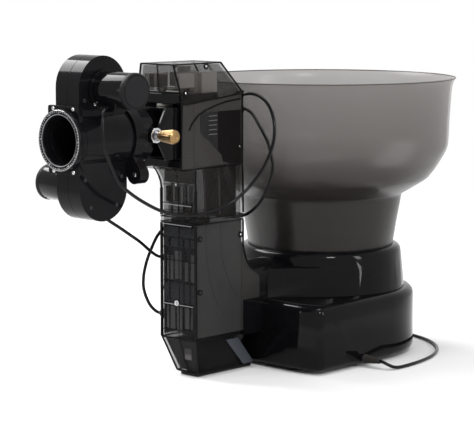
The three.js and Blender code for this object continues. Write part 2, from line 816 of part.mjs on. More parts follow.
// Black bearing blocks above and below the swing opening
function addBearingBlocks() {
  const front = columnFront - openReach + seatGap;
  const back = columnBack - backInset;
  const halfAt = (y) => {
    const t = (y - front) / (back - front);
    return openWidth / 2 + (backHalf - openWidth / 2) * t - clearWall - seatGap * 2;
  };
  const block = (rear, low, high) => {
    const outline = [
      point(-halfAt(front), front),
      point(halfAt(front), front),
      point(halfAt(rear), rear),
      point(-halfAt(rear), rear),
    ];
    return cut(prismZ(outline, low, high), rod(pinRadius + seatGap, 0, hoodTop, "z", [0, yawY, 0]));
  };
  const low = sillHeight + clearWall + seatGap * 2;
  add("turret_platform", block(columnFront + flareDeep, low, low + platformThick), satinBlack);
  add("turret_cap", block(yawY + sectorPitch * 2.4, capBottom, capTop - seatGap * 2), satinBlack);
}

// Swing bracket with ears, its two pins, and the swing drive
function addBracket() {
  const half = bracketHalf;
  const rear = yawY - bracketRear;
  const front = yawY - bracketFront;
  const above = barrelHeight + halfWay + seatGap;
  const below = barrelHeight - halfWay - seatGap;
  const plan = [
    point(-half, front), point(half, front), point(half, rear),
    ...arc(0, yawY, plateNose, 0, 180, 10), point(-half, rear),
  ];
  const ear = [
    point(rear, below - bracketPlate), point(rear, above + bracketPlate),
    point(front, above + bracketPlate),
    point(tiltY + earRound * 0.5, barrelHeight + earRound * 0.87),
    ...arc(tiltY, barrelHeight, earRound, 120, 240, 8),
    point(tiltY + earRound * 0.5, barrelHeight - earRound * 0.87),
    point(front, below - bracketPlate),
  ];
  const body = join(
    prismZ(plan, above, above + bracketPlate),
    prismZ(plan, below - bracketPlate, below),
    prismX(ear, half - bracketWall, half),
    prismX(ear, -half, -half + bracketWall),
  );
  const tiltHole = rod(pinRadius + seatGap, -half - overrun, half + overrun, "x", [0, tiltY, barrelHeight]);
  const pinHole = rod(pinRadius + seatGap, 0, hoodTop, "z", [0, yawY, 0]);
  add("swing_bracket", cut(body, tiltHole, pinHole), glossBlack);

  const plateTop = above + bracketPlate + seatGap;
  const collarRoof = capBottom - seatGap;
  const gearFoot = capTop;
  const teeth = gearOutline(sectorPitch, sectorTeeth, sectorStart, sectorEnd, pinRadius * 2);
  const upper = join(
    rod(pinRadius, above + seatGap, gearFoot + gearThick, "z", [0, yawY, 0]),
    rod(pinCollar, plateTop, collarRoof, "z", [0, yawY, 0]),
    prismZ(teeth, gearFoot, gearFoot + gearThick).translate([0, yawY, 0]),
  );
  add("swing_sector", upper, greyPlastic);

  const platformTop = sillHeight + clearWall + seatGap * 2 + platformThick + seatGap;
  const lower = join(
    rod(pinRadius, sillHeight + clearWall + seatGap * 3, below - seatGap, "z", [0, yawY, 0]),
    rod(pinCollar, platformTop, below - bracketPlate - seatGap, "z", [0, yawY, 0]),
  );
  add("swing_lower_pin", lower, steel);

  const pinionPitch = sectorPitch / swingRatio;
  const centre = yawY + sectorPitch + pinionPitch + seatGap * 1.5;
  const leaves = gearOutline(pinionPitch, sectorTeeth / swingRatio, 0, 360, 0, 0.5);
  const stubTop = gearFoot + gearThick * 1.75 + seatGap * 2;
  const pinion = join(
    prismZ(leaves, gearFoot, gearFoot + gearThick).translate([0, centre, 0]),
    rod(shaftRadius * 0.7, gearFoot, stubTop, "z", [0, centre, 0]),
  );
  add("swing_pinion", pinion, brass);

  // Swing gear motor on two legs that stand on the cap
  const boxFoot = gearFoot + gearThick + seatGap * 4;
  const boxRoof = hoodTop - clearWall - seatGap * 4;
  const legs = pinionPitch + pinCollar;
  const boxFront = centre - swingBoxDeep / 2;
  const boxRear = centre + swingBoxDeep / 2;
  const legTop = boxFoot + seatGap;
  const motorHalf = swingBox / 2;
  const motor = cut(
    join(
      box(-motorHalf, motorHalf, boxFront, boxRear, boxFoot, boxRoof - overrun),
      rod(swingBoxDeep / 2, boxRoof - overrun - seatGap, boxRoof, "z", [0, centre, 0]),
      box(-motorHalf, -legs + runGap, centre + runGap, boxRear, capTop - seatGap, legTop),
      box(legs - runGap, motorHalf, centre + runGap, boxRear, capTop - seatGap, legTop),
    ),
    rod(shaftRadius, 0, boxFoot + overrun, "z", [0, centre, 0]),
  );
  add("swing_motor", motor, greyPlastic);
}

// A gear's outline: teeth round a pitch circle, or round part of it with a hub behind
function gearOutline(pitch, teeth, from, to, hub, phase = 0) {
  const points = [];
  const step = 360 / teeth;
  const depth = toothDepth / 2;
  const toothShares = [[-0.28, -1], [-0.14, 1], [0.14, 1], [0.28, -1]];
  const count = Math.round((to - from) / step);
  for (let k = 0; k < count; k++) {
    for (const [share, way] of toothShares) {
      const turn = THREE.MathUtils.degToRad(from + (k + 0.5 + share + phase) * step);
      points.push(point((pitch + way * depth) * Math.cos(turn), (pitch + way * depth) * Math.sin(turn)));
    }
  }
  if (hub > 0) points.push(...arc(0, 0, hub, to + step, 360 + from - step, 10));
  return points;
}

// Throwing head: rear barrel and clamp on the tilt axis
function addRearBarrel() {
  const front = housingRear();
  const rear = barrelRear();
  const lugInner = halfWay - runGap;
  const lugOuter = bracketHalf - bracketWall - seatGap;
  const centre = [0, 0, barrelHeight];
  const spigot = spigotLength + runGap;
  const tubeWall = pipe(boreRadius, barrelRadius, front + seatGap, rear, "y", centre);
  const socket = (boreRadius + barrelRadius) / 2 + seatGap;
  const counterbore = rod(socket, front - overrun, front + spigot, "y", centre, barrelSteps);
  const lug = [
    point(rear - earRound, barrelHeight - earRound),
    point(tiltY, barrelHeight - earRound),
    ...arc(tiltY, barrelHeight, earRound, -60, 60, 6),
    point(tiltY, barrelHeight + earRound),
    point(rear - earRound, barrelHeight + earRound),
  ];
  const lugs = join(prismX(lug, lugInner, lugOuter), prismX(lug, -lugOuter, -lugInner));
  const lugRoom = rod(lugInner, front, rear, "y", centre, barrelSteps);
  const body = join(cut(tubeWall, counterbore), cut(lugs, lugRoom));
  const hole = rod(pinRadius + seatGap, -bracketHalf, bracketHalf, "x", [0, tiltY, barrelHeight]);
  const relief = [1, -1].map((way) => {
    const ends = [way * lugOuter, way * (bracketHalf + overrun)].sort((a, b) => a - b);
    return rod(earRound * 1.6, ends[0], ends[1], "x", [0, tiltY, barrelHeight], barrelSteps);
  });
  add("rear_barrel", cut(body, hole, ...relief), glossBlack);

  const turn = THREE.MathUtils.degToRad(lugTurn);
  const lugX = lugReach * Math.cos(turn);
  const lugZ = barrelHeight + lugReach * Math.sin(turn);
  const side = point(-Math.sin(turn), Math.cos(turn)).multiplyScalar(lugRound);
  const inner = barrelRadius + clampPlay * 5;
  const root = point(inner * Math.cos(turn), barrelHeight + inner * Math.sin(turn));
  const tab = [
    point(root.x - side.x, root.y - side.y),
    ...arc(lugX, lugZ, lugRound, lugTurn - 90, lugTurn + 90, 10),
    point(root.x + side.x, root.y + side.y),
  ];
  const clampFront = front + seatGap;
  const clampBack = clampRear();
  const band = rod(clampRadius, clampFront, clampBack, "y", centre, barrelSteps);
  const ring = cut(
    join(band, prismY(tab, clampFront, clampBack)),
    rod(barrelRadius + clampPlay, clampFront - overrun, rear, "y", centre, barrelSteps),
    rod(pinRadius, clampFront - overrun, clampBack + overrun, "y", [lugX, 0, lugZ]),
  );
  add("clamp_ring", ring, glossBlack);
  const shank = pinRadius - seatGap;
  const screwHead = pinRadius * 1.7;
  const screw = [
    [0, clampFront],
    [shank, clampFront + seatGap],
    [shank, clampBack + seatGap],
    [screwHead, clampBack + seatGap],
    [screwHead, clampBack + pinRadius],
    [0, clampBack + pinRadius],
  ];
  add("clamp_screw", turned(screw, "y", [lugX, 0, lugZ], smallRound), steel);
}

function addTiltPins() {
  const face = bracketHalf + seatGap;
  const start = halfWay - runGap + seatGap;
  const knobStart = face + washerThick + seatGap;
  const centre = [0, tiltY, barrelHeight];
  const washer = pipe(pinRadius + seatGap, washerRadius, face, face + washerThick, "x", centre, smallRound);
  add("tilt_washer", washer, steel);
  const tip = knobStart + knobLength;
  const shank = rod(pinRadius, start, knobStart + seatGap, "x", centre);
  const grip = [
    [0, knobStart],
    [knobNeck, knobStart],
    [knobRadius * 0.94, knobStart + knobLength * 0.5],
    [knobRadius, tip - knobRadius * 0.3],
    [knobRadius * 0.8, tip],
    [0, tip],
  ];
  const cone = turned(grip, "x", centre, smallRound);
  const flutes = Array.from({ length: knobFlutes }, (_, k) => {
    const turn = (2 * Math.PI * k) / knobFlutes;
    const y = tiltY + (knobRadius + knobFlute) * Math.cos(turn);
    const z = barrelHeight + (knobRadius + knobFlute) * Math.sin(turn);
    return rod(knobFlute * 2, knobStart + knobLength * 0.3, tip + overrun, "x", [0, y, z], 6);
  });
  add("tilt_thumb_screw", join(shank, cut(cone, ...flutes)), brass);
  const head = [
    [0, -face - rivetHead * 0.4],
    [rivetHead * 0.7, -face - rivetHead * 0.4],
    [rivetHead, -face - rivetHead * 0.15],
    [rivetHead, -face],
    [pinRadius, -face],
    [pinRadius, -start],
    [0, -start],
  ];
  add("tilt_rivet", turned(head, "x", centre, smallRound), steel);
}

// Head shells: two halves with the wheel housings and the front barrel moulded in one
function addHeadShells() {
  const y = wheelY();
  const top = barrelHeight + housingRise;
  const bottom = barrelHeight - housingRise;
  const outline = [
    ...arc(y, top, housingRound, 0, 180, 20),
    ...arc(y, bottom, housingRound, 180, 360, 20),
  ];
  const centre = [0, 0, barrelHeight];
  const rear = housingRear();
  const front = housingFront();
  const body = join(
    prismX(outline, -housingHalf, housingHalf),
    rod(barrelRadius, front, rear, "y", centre, barrelSteps),
    rod((boreRadius + barrelRadius) / 2, rear - overrun, rear + spigotLength, "y", centre, barrelSteps),
  );
  const cavity = wheelHalf + wheelPlay;
  const wheelRoom = wheelRadius + wheelPlay;
  const upper = barrelHeight + wheelRise;
  const lower = barrelHeight - wheelRise;
  const hole = shaftRadius + runGap;
  const hollow = cut(
    body,
    rod(boreRadius, front - overrun, rear + spigotLength + overrun, "y", centre, barrelSteps),
    rod(wheelRoom, -cavity, cavity, "x", [0, y, upper], barrelSteps),
    rod(wheelRoom, -cavity, cavity, "x", [0, y, lower], barrelSteps),
    rod(hole, 0, housingHalf + overrun, "x", [0, y, upper]),
    rod(hole, -housingHalf - overrun, 0, "x", [0, y, lower]),
  );
  halves("head_shell", hollow, glossBlack);
}

function addMuzzle() {
  const back = housingFront() - seatGap;
  const front = back - muzzlePlateThick;
  const centre = [0, 0, barrelHeight];
  const half = muzzlePlateHalf;
  const tall = muzzlePlateTall / 2;
  const corners = [[-half, -tall], [half, -tall], [half, tall], [-half, tall]];
  const outline = filleted(corners.map(([x, z]) => [x, barrelHeight + z, columnCorner]), 2);
  const bore = rod(boreRadius, front - overrun, back + overrun, "y", centre, barrelSteps);
  const round = rod(barrelRadius, front, back, "y", centre, barrelSteps);
  add("muzzle_plate", cut(join(prismY(outline, front, back), round), bore), satinBlack);
  const ringBack = front - seatGap;
  const lip = muzzleRingLength * 0.25;
  const ring = [
    [boreRadius, ringBack],
    [muzzleRingRadius, ringBack],
    [muzzleRingRadius, muzzleFront + lip],
    [muzzleRingRadius - lip, muzzleFront],
    [muzzleBore + lip, muzzleFront],
    [muzzleBore, muzzleFront + lip],
    [boreRadius, muzzleFront + lip * 2.5],
    [boreRadius, ringBack],
  ];
  add("muzzle_ring", turned(ring, "y", centre, barrelSteps), satinBlack);
}

// Throwing wheels: each a hub and tyre on the shaft of its own motor
function addWheel(name, side) {
  const y = wheelY();
  const z = barrelHeight + side * wheelRise;
  const centre = [0, y, z];
  const along = (a, b) => (side > 0 ? [a, b] : [-b, -a]);
  const bore = shaftRadius + seatGap;
  const rimHub = [
    [bore, -wheelHalf],
    [hubRadius, -wheelHalf],
    [hubRadius, wheelHalf],
    [bore, wheelHalf],
    [bore, -wheelHalf],
  ];
  const web = wheelHalf * 0.5;
  const recess = pipe(bore * 2, hubRadius * 0.8, web, wheelHalf + overrun, "x", centre, smallRound);
  add(name + "_wheel_hub", cut(turned(rimHub, "x", centre, barrelSteps), recess), greyPlastic);
  const inner = hubRadius + seatGap;
  const crown = wheelRadius * 0.03;
  const tyre = [
    [inner, -wheelHalf],
    [wheelRadius - crown, -wheelHalf],
    [wheelRadius, -wheelHalf * 0.5],
    [wheelRadius, wheelHalf * 0.5],
    [wheelRadius - crown, wheelHalf],
    [inner, wheelHalf],
    [inner, -wheelHalf],
  ];
  add(name + "_wheel_tyre", turned(tyre, "x", centre, barrelSteps), tyreGrey);

  const start = housingHalf + seatGap;
  const end = start + motorLength;
  const socketEnd = start + motorFlangeThick * 2;
  const [s0, s1] = along(-wheelHalf, socketEnd - seatGap);
  add(name + "_motor_shaft", rod(shaftRadius, s0, s1, "x", centre), steel);

  const edge = motorRadius * 0.08;
  const can = [
    [shaftRadius + seatGap, start],
    [motorFlange, start],
    [motorFlange, start + motorFlangeThick],
    [motorRadius, start + motorFlangeThick],
    [motorRadius, end - edge],
    [motorRadius - edge, end],
    [0, end],
    [0, socketEnd],
    [shaftRadius + seatGap, socketEnd],
    [shaftRadius + seatGap, start],
  ];
  const turnedCan = turned(can.map(([r, h]) => [r, h * side]), "x", centre, barrelSteps);
  const [t0, t1] = along(start + terminalStart, start + terminalStart + terminalLong);
  const [y0, y1] = side > 0 ? [y - terminalReach, y] : [y, y + terminalReach];
  const terminal = box(t0, t1, y0, y1, z - motorRadius - terminalTall, z - motorRadius / 2);
  add(name + "_motor", join(turnedCan, terminal), glossBlack);
}

// Feed: star disc in the base's basin, agitator, shaft and gear motor
function addFeed() {
  const floor = basinFloor + runGap;
  const radius = basinRadius - discPlay;
  const hole = feedShaftRadius + seatGap;
  const deck = floor + discThick;
  const armEnd = radius - discPlay;
  const arm = (k) => {
    const outline = [
      point(armRoot - armThick, -armThick / 2),
      point(armEnd - armThick, -armThick / 2),
      point(armEnd, -armThick / 4),
      point(armEnd, armThick / 4),
      point(armEnd - armThick, armThick / 2),
      point(armRoot - armThick, armThick / 2),
    ];
    const turn = (2 * Math.PI * k) / armCount;
    return prismZ(outline.map((p) => p.rotateAround(point(0, 0), turn)), deck - seatGap, deck + armTall);
  };
  const arms = Array.from({ length: armCount }, (_, k) => arm(k));
  const hub = rod(armRoot, deck - seatGap, deck + armTall, "z", [0, 0, 0]);
  const disc = join(rod(radius, floor, deck, "z", [0, 0, 0], roundSteps), hub, ...arms);
  add("feed_disc", cut(disc, rod(hole, 0, collarTop, "z", [0, 0, 0])), satinBlack);

  const coneFoot = deck + armTall + seatGap;
  const coneShares = [[0, 0], [1, 0], [0.8, 0.25], [0.35, 0.9], [0.2, 1], [0, 1]];
  const coneProfile = coneShares.map(([s, t]) => [armRoot * s, coneFoot + coneTall * t]);
  const cone = turned(coneProfile, "z", [0, 0, 0], smallRound);
  const fingerShares = [[0, 0.3], [0.5, 0.36], [1, 0.62]];
  const fingerPath = fingerShares.map(([s, t]) => [fingerReach * s, 0, coneFoot + coneTall * t]);
  const finger = tube(fingerPath, fingerRadius, 10, 8);
  const bore = rod(hole, 0, coneFoot + coneTall * 0.3, "z", [0, 0, 0]);
  add("agitator", cut(join(cone, finger), bore), satinBlack);

  const boxTop = basinFloor - basinWall - seatGap;
  const boxFoot = boxTop - gearboxTall;
  const pocket = gearboxTall * 0.3;
  const shaftFoot = boxTop - pocket + seatGap;
  add("feed_shaft", rod(feedShaftRadius, shaftFoot, coneFoot + coneTall * 0.25, "z", [0, 0, 0]), steel);
  const motor = join(
    rod(gearboxRadius, boxFoot, boxTop, "z", [0, 0, 0], barrelSteps),
    rod(canRadius, boxFoot - canTall, boxFoot + seatGap, "z", [0, 0, 0]),
  );
  add("feed_motor", cut(motor, rod(hole, boxTop - pocket, boxTop + overrun, "z", [0, 0, 0])), greyPlastic);
}

// Control board on stand-offs behind the column's front face
function addBoard() {
  const faceY = columnFront + clearWall + seatGap;
  const y0 = faceY + boardStandoff;
  const y1 = y0 + boardThick;
  const tall = boardTop - boardBottom;
  const pegShares = [[-0.8, 0.04], [0.8, 0.04], [-0.8, 0.96], [0.8, 0.96]];
  const chipShares = [
    [-0.7, -0.2, 0.2, 0.34],
    [0.1, 0.75, 0.28, 0.5],
    [-0.75, -0.35, 0.55, 0.72],
    [-0.1, 0.8, 0.62, 0.8],
  ];
  const acrossAt = (share) => boardHalf * share;
  const heightAt = (share) => boardBottom + tall * share;
  const middle = (y0 + y1) / 2;
  const pegs = pegShares.map(([s, t]) =>
    rod(boardStandoff * 0.7, faceY, middle, "y", [acrossAt(s), 0, heightAt(t)], 12),
  );
  const chips = chipShares.map(([s0, s1, t0, t1]) =>
    box(acrossAt(s0), acrossAt(s1), middle, y1 + chipTall, heightAt(t0), heightAt(t1)),
  );
  const sheet = box(-boardHalf, boardHalf, y0, y1, boardBottom, boardTop);
  add("control_board", join(sheet, ...pegs, ...chips), boardGreen);
}

function addFeet() {
  const low = 0;
  const front = -baseReach + baseWall + padInset;
  for (const [name, side] of [["left", 1], ["right", -1]]) {
    const edges = [side * frontPadStart, side * (frontPadStart + frontPadLong)].sort((a, b) => a - b);
    add("front_foot_" + name, box(edges[0], edges[1], front, front + padDeep, low, padFoot), rubber);
    const turn = THREE.MathUtils.degToRad(rearPadTurn);
    const reach = baseRadius - baseWall - padInset - padDeep / 2;
    const spot = [side * reach * Math.cos(turn), reach * Math.sin(turn), 0];
    add("rear_foot_" + name, rod(padDeep / 2, low, padFoot, "z", spot), rubber);
  }
  const half = halfColumn - chinInset - padInset / 2;
  const chinFront = columnFront + chinSlope + padInset / 2;
  const chinBack = columnBack + chinTail - padInset / 2;
  add("chin_pad", box(-half, half, chinFront, chinBack, low, padFoot), rubber);
}

// Glands where the leads go in: angled boots behind the hood, round ones on the column's far side
function addGlands() {
  const hoodBack = columnBack - backInset + seatGap;
  const boots = [["upper", barrelHeight + upperBootRise], ["lower", barrelHeight + lowerBootRise]];
  for (const [name, z] of boots) {
    const outline = filleted([
      [hoodBack, z - bootTall / 2], [hoodBack + bootDeep, z - bootTall / 2, leadRadius],
      [hoodBack + bootDeep, z + bootTall / 2, leadRadius], [hoodBack, z + bootTall / 2],
    ]);
    add("hood_gland_" + name, prismX(outline, bootNear, bootFar), rubber);
  }
  const face = -halfColumn - seatGap;
  const seats = [
    ["upper", upperGlandSetback, upperGlandHeight],
    ["lower", lowerGlandSetback, lowerGlandHeight],
  ];
  for (const [name, setback, z] of seats) {
    const profile = [
      [0, face],
      [glandRadius, face],
      [glandRadius, face - glandLength * 0.3],
      [glandNeck, face - glandLength],
      [0, face - glandLength],
    ];
    add("column_gland_" + name, turned(profile, "x", [0, columnFront + setback, z], smallRound), rubber);
  }
}

// Leads and the power cord: each route is a list of points along its middle
const upperMotorRoute = [
  [40, -334, 272.5], [40, -337.3, 272.5], [41.5, -342, 270], [44, -346.2, 262.5],
  [45.6, -347.9, 253], [46, -347.4, 243], [46, -344.2, 232.8], [45, -336.2, 217.7],
  [44, -326.9, 204.2], [44, -312, 193], [44, -295.9, 183.7], [44, -275.6, 174.4],
  [43, -256.5, 169.3], [42, -233.2, 165.1], [42, -206.3, 167.3], [43, -185.3, 171.2],
  [46, -169, 179.7], [52, -153.6, 195.4], [57, -144.1, 212.5], [60, -138.9, 228.8],
  [59, -136, 245], [50.5, -133.5, 262.5], [41, -134.8, 271.5], [31, -138, 275.2],
  [24.2, -140.4, 274.6], [20.8, -140.4, 274.6],
];
const columnRoute = [
  [20.8, -140.4, 260], [24.2, -140.4, 260], [30, -138, 256.5], [40, -134.6, 241],
  [50, -134.8, 226.8], [55, -135.6, 213.6], [57, -136, 204.1], [54, -136.6, 192.2],
  [47, -136.2, 178.9], [36, -136.4, 165.2], [20, -136.8, 155], [2, -136.8, 152.4],
  [-16, -137.4, 152], [-28, -141.5, 151.8], [-33.5, -150.5, 151.4], [-34.5, -165, 150.6],
  [-34.5, -182, 148], [-34.5, -194.5, 142.8], [-37, -201, 135.5], [-40, -206.6, 123],
  [-42, -211.9, 108.8], [-43, -214.6, 95.1], [-42.4, -215.2, 85], [-41, -212.4, 74],
  [-39.5, -208, 65.6], [-36.8, -203.8, 60.6], [-34.8, -202.5, 59.5], [-31.5, -202.5, 59.5],
];
const lowerMotorRoute = [
  [-40, -306.4, 182.5], [-40, -303, 182.5], [-39.4, -297, 180.4], [-37.6, -287.5, 173.5],
  [-35.4, -278.5, 165.3], [-33, -270.1, 157.9], [-31, -256.5, 149.1], [-30, -244.3, 141.2],
  [-30, -231.1, 132.9], [-31.4, -216.9, 122.9], [-33.8, -205.5, 116.6], [-34.9, -199.2, 114.6],
  [-31.5, -198.5, 114.5],
];
const powerRoute = [
  [118.4, -44, 8], [121.8, -43.9, 7.8], [126.5, -42, 5.6], [129.4, -37, 3], [130.4, -29, 1.75],
  [130.2, -14, 1.7], [127.6, 8, 1.7], [121.6, 32, 1.7], [112, 54, 1.7], [98.5, 74, 1.7],
  [80.5, 91, 1.7], [58, 104, 1.7], [34, 112, 1.7], [10, 116.4, 1.7], [-14, 118.8, 1.7],
  [-38, 120.6, 1.7], [-60, 122, 1.7], [-80, 122.8, 1.7], [-91.4, 122.8, 1.7],
];

// The spare cord's middle line, where a turn of 1 is once round the coil
function coilPoint(turn) {
  const perLayer = coilTurns / coilLayers;
  const layer = Math.min(Math.floor(turn / perLayer), coilLayers - 1);
  const along = turn - layer * perLayer;
  const inward = layer % 2 === 0 ? along : perLayer - along;
  const radius = coilOuter - coilPitch * inward;
  let height = layer;
  const edge = Math.round(turn / perLayer);
  const apart = turn - edge * perLayer;
  if (edge > 0 && edge < coilLayers && Math.abs(apart) < 0.25) {
    height = edge - 0.5 + 0.5 * Math.sin(2 * Math.PI * apart);
  }
  const angle = 2 * Math.PI * (turn + 0.25);
  const rise = cordRest() + height * coilPitch;
  return axis(coilX + radius * Math.cos(angle), coilY + radius * Math.sin(angle), rise);
}

function cordRest() {
  return cordRadius + (cordRadius - leadRadius);
}

function coilPath() {
  const points = [];
  const count = coilTurns * coilSteps;
  const first = coilPoint(0);
  const straight = cordRadius * 2;
  points.push(axis(first.x + straight, first.y, first.z));
  for (let k = 0; k <= count; k++) points.push(coilPoint((coilTurns * k) / count));
  const last = points.at(-1);
  const drop = last.z - plugHeight;
  const tailShares = [[0.2, 0], [0.4, 0.06], [0.6, 0.45], [0.8, 0.94], [0.9, 1], [1, 1]];
  for (const [s, t] of tailShares) points.push(axis(last.x, last.y - coilTail * s, last.z - drop * t));
  return points;
}

// A tube whose rings stand square to the path at each of its points
function ringTube(points, radius, sides) {
  const up = axis(0, 0, 1);
  const rings = points.map((here, i) => {
    const ahead = points[Math.min(i + 1, points.length - 1)].clone();
    const along = ahead.sub(points[Math.max(i - 1, 0)]).normalize();
    const across = along.clone().cross(up).normalize();
    const over = across.clone().cross(along);
    return Array.from({ length: sides }, (_, k) => {
      const turn = (2 * Math.PI * (k + 0.5)) / sides;
      const spot = here.clone().addScaledVector(across, radius * Math.cos(turn));
      return spot.addScaledVector(over, radius * Math.sin(turn));
    });
  });
  return loft(rings, false);
}

function selfGap(points, radius) {
  let least = Infinity;
  const skip = coilSteps / 3;
  for (let i = 0; i < points.length; i++) {
    for (let j = i + skip; j < points.length; j++) least = Math.min(least, points[i].distanceTo(points[j]));
  }
  return least - radius * 2;
}

function addLeads() {
  add("upper_motor_lead", tube(upperMotorRoute, leadRadius, leadSides, 46), cordBlack);
  add("column_lead", tube(columnRoute, leadRadius, leadSides, 48), cordBlack);
  add("lower_motor_lead", tube(lowerMotorRoute, leadRadius, leadSides, 20), cordBlack);
}

function addPowerCord() {
  const start = baseRadius + seatGap;
  const end = start + reliefLength;
  const grip = baseRadius - baseWall - seatGap;
  const profile = [
    [0, grip],
    [glandNeck, grip],
    [glandNeck, start],
    [reliefRadius, start],
    [reliefRadius, start + reliefLength * 0.1],
    [cordRadius * 1.5, end],
    [0, end],
  ];
  add("cord_grommet", turned(profile, "x", [0, cordExitY, cordExitHeight], smallRound), rubber);
  add("power_cord", tube(powerRoute, cordRadius, leadSides, 44), cordBlack);
  const path = coilPath();
  add("power_cord_coil", ringTube(path, cordRadius, 6), cordBlack);
  console.log("least gap of the coil to itself, mm:", selfGap(path, cordRadius).toFixed(2));

  // Plug with two round pins
  const tip = path.at(-1);
  const near = tip.y - seatGap;
  const far = near - plugLong;
  const corners = [
    [-plugEntry, near],
    [-plugHalf, near - plugNeck, plugNeckRound],
    [-plugHalf, far, plugEndRound],
    [plugHalf, far, plugEndRound],
    [plugHalf, near - plugNeck, plugNeckRound],
    [plugEntry, near],
  ];
  const body = filleted(corners.map(([x, y, radius]) => [tip.x + x, y, radius]));
  const pins = [-1, 1].map((way) =>
    rod(pinThick, far - pinLong, far + seatGap, "y", [tip.x + way * pinApart, 0, tip.z], 12),
  );
  add("power_plug", join(prismZ(body, tip.z - plugThick / 2, tip.z + plugThick / 2), ...pins), satinBlack);
}

for (const build of [
  addBase, addCollar, addBowl, addLowerColumn, addUpperColumn, addDuct, addBearingBlocks, addBracket,
  addRearBarrel, addTiltPins, addHeadShells, addMuzzle,
]) build();
addWheel("upper", 1);
addWheel("lower", -1);
for (const build of [addFeed, addBoard, addFeet, addGlands, addLeads, addPowerCord]) build();

export default robot;
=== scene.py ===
import bpy
import bmesh
import json
import math
from mathutils import Matrix, Vector


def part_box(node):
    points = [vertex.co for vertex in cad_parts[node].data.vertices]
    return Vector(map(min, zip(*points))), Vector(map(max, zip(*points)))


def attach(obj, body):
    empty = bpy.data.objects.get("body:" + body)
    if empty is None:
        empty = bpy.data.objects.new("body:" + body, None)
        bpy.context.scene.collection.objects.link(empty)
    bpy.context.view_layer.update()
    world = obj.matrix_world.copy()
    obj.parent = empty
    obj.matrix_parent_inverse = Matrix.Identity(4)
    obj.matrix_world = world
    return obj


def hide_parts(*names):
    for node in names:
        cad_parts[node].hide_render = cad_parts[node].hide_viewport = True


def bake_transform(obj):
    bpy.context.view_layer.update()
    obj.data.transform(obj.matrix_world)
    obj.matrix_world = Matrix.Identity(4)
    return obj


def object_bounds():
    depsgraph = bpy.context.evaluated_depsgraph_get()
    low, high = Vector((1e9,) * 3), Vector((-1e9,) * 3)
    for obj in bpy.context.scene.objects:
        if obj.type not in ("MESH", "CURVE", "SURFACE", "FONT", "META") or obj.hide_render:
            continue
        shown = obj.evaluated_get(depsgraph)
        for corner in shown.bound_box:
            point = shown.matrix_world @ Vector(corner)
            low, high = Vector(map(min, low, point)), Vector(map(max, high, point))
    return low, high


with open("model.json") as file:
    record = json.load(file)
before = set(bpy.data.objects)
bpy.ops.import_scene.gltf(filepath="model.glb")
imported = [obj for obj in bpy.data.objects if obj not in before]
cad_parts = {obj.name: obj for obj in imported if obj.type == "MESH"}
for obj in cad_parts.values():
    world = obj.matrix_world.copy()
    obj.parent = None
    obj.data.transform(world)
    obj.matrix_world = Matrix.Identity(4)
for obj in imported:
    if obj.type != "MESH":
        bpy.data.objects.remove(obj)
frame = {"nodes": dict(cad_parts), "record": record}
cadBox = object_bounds()
bowlLow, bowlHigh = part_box("ball_bowl")
bowlY = (bowlLow[1] + bowlHigh[1]) / 2  # every piece is worked out about the bowl's axis, in mm


def at(x, y, z):
    return Vector((x / 1000, y / 1000 + bowlY, z / 1000))


def say(stage):
    print("table tennis robot:", stage)


# Camera, floor and light
viewpoint = {
    "place": (1295.0, -1486.9, 398.8),
    "turn": 43.59,  # degrees about the upright
    "dip": 7.39,  # degrees below level
    "lens": 144.3,
    "sensor": 36,
    "farthest": 50,  # m, where the view ends
}
studio = {
    "floorColor": (0.86, 0.86, 0.86, 1),
    "floorSize": 12,
    "floorDrop": 0.0003,  # m between the floor and the lowest point
    "fadeStart": 0.45,  # m from the middle, where the floor starts to fade to white
    "fadeEnd": 1.5,
    "worldLight": 0.5,
    "aim": (0, 0, 0.15),
    "lamps": [
        # name, place in m, size, watts
        ("key", (1.95, -1.15, 1.75), (0.5, 0.5), 30),
        ("fill", (-1.0, -2.2, 0.95), (0.25, 0.9), 4),
        ("topLeft", (-1.25, -0.3, 1.5), (1.1, 0.9), 46),
        ("top", (0.3, -0.1, 1.9), (0.8, 0.3), 12),
        ("sideStrip", (2.1, 0.35, 0.85), (0.3, 1.0), 15),
    ],
}


def makeCamera():
    camera = bpy.data.objects.new("photoCamera", bpy.data.cameras.new("photoCamera"))
    bpy.context.scene.collection.objects.link(camera)
    camera.location = at(*viewpoint["place"])
    camera.rotation_euler = (math.radians(90 - viewpoint["dip"]), 0, math.radians(viewpoint["turn"]))
    camera.data.sensor_fit = "HORIZONTAL"
    camera.data.sensor_width = viewpoint["sensor"]
    camera.data.lens = viewpoint["lens"]
    camera.data.clip_end = viewpoint["farthest"]
    bpy.context.scene.camera = camera


# Shader maths written as plain expressions
class Wire:
    def __init__(self, look, socket):
        self.look = look
        self.socket = socket

    def maths(self, operation, a, b=0.0):
        return self.look.add("ShaderNodeMath", {"operation": operation}, {0: a, 1: b})

    def __add__(self, other):
        return self.maths("ADD", self, other)

    def __sub__(self, other):
        return self.maths("SUBTRACT", self, other)

    def __mul__(self, other):
        return self.maths("MULTIPLY", self, other)

    def __gt__(self, other):
        return self.maths("GREATER_THAN", self, other)

    def __rsub__(self, other):
        return self.maths("SUBTRACT", other, self)

    __radd__ = __add__
    __rmul__ = __mul__


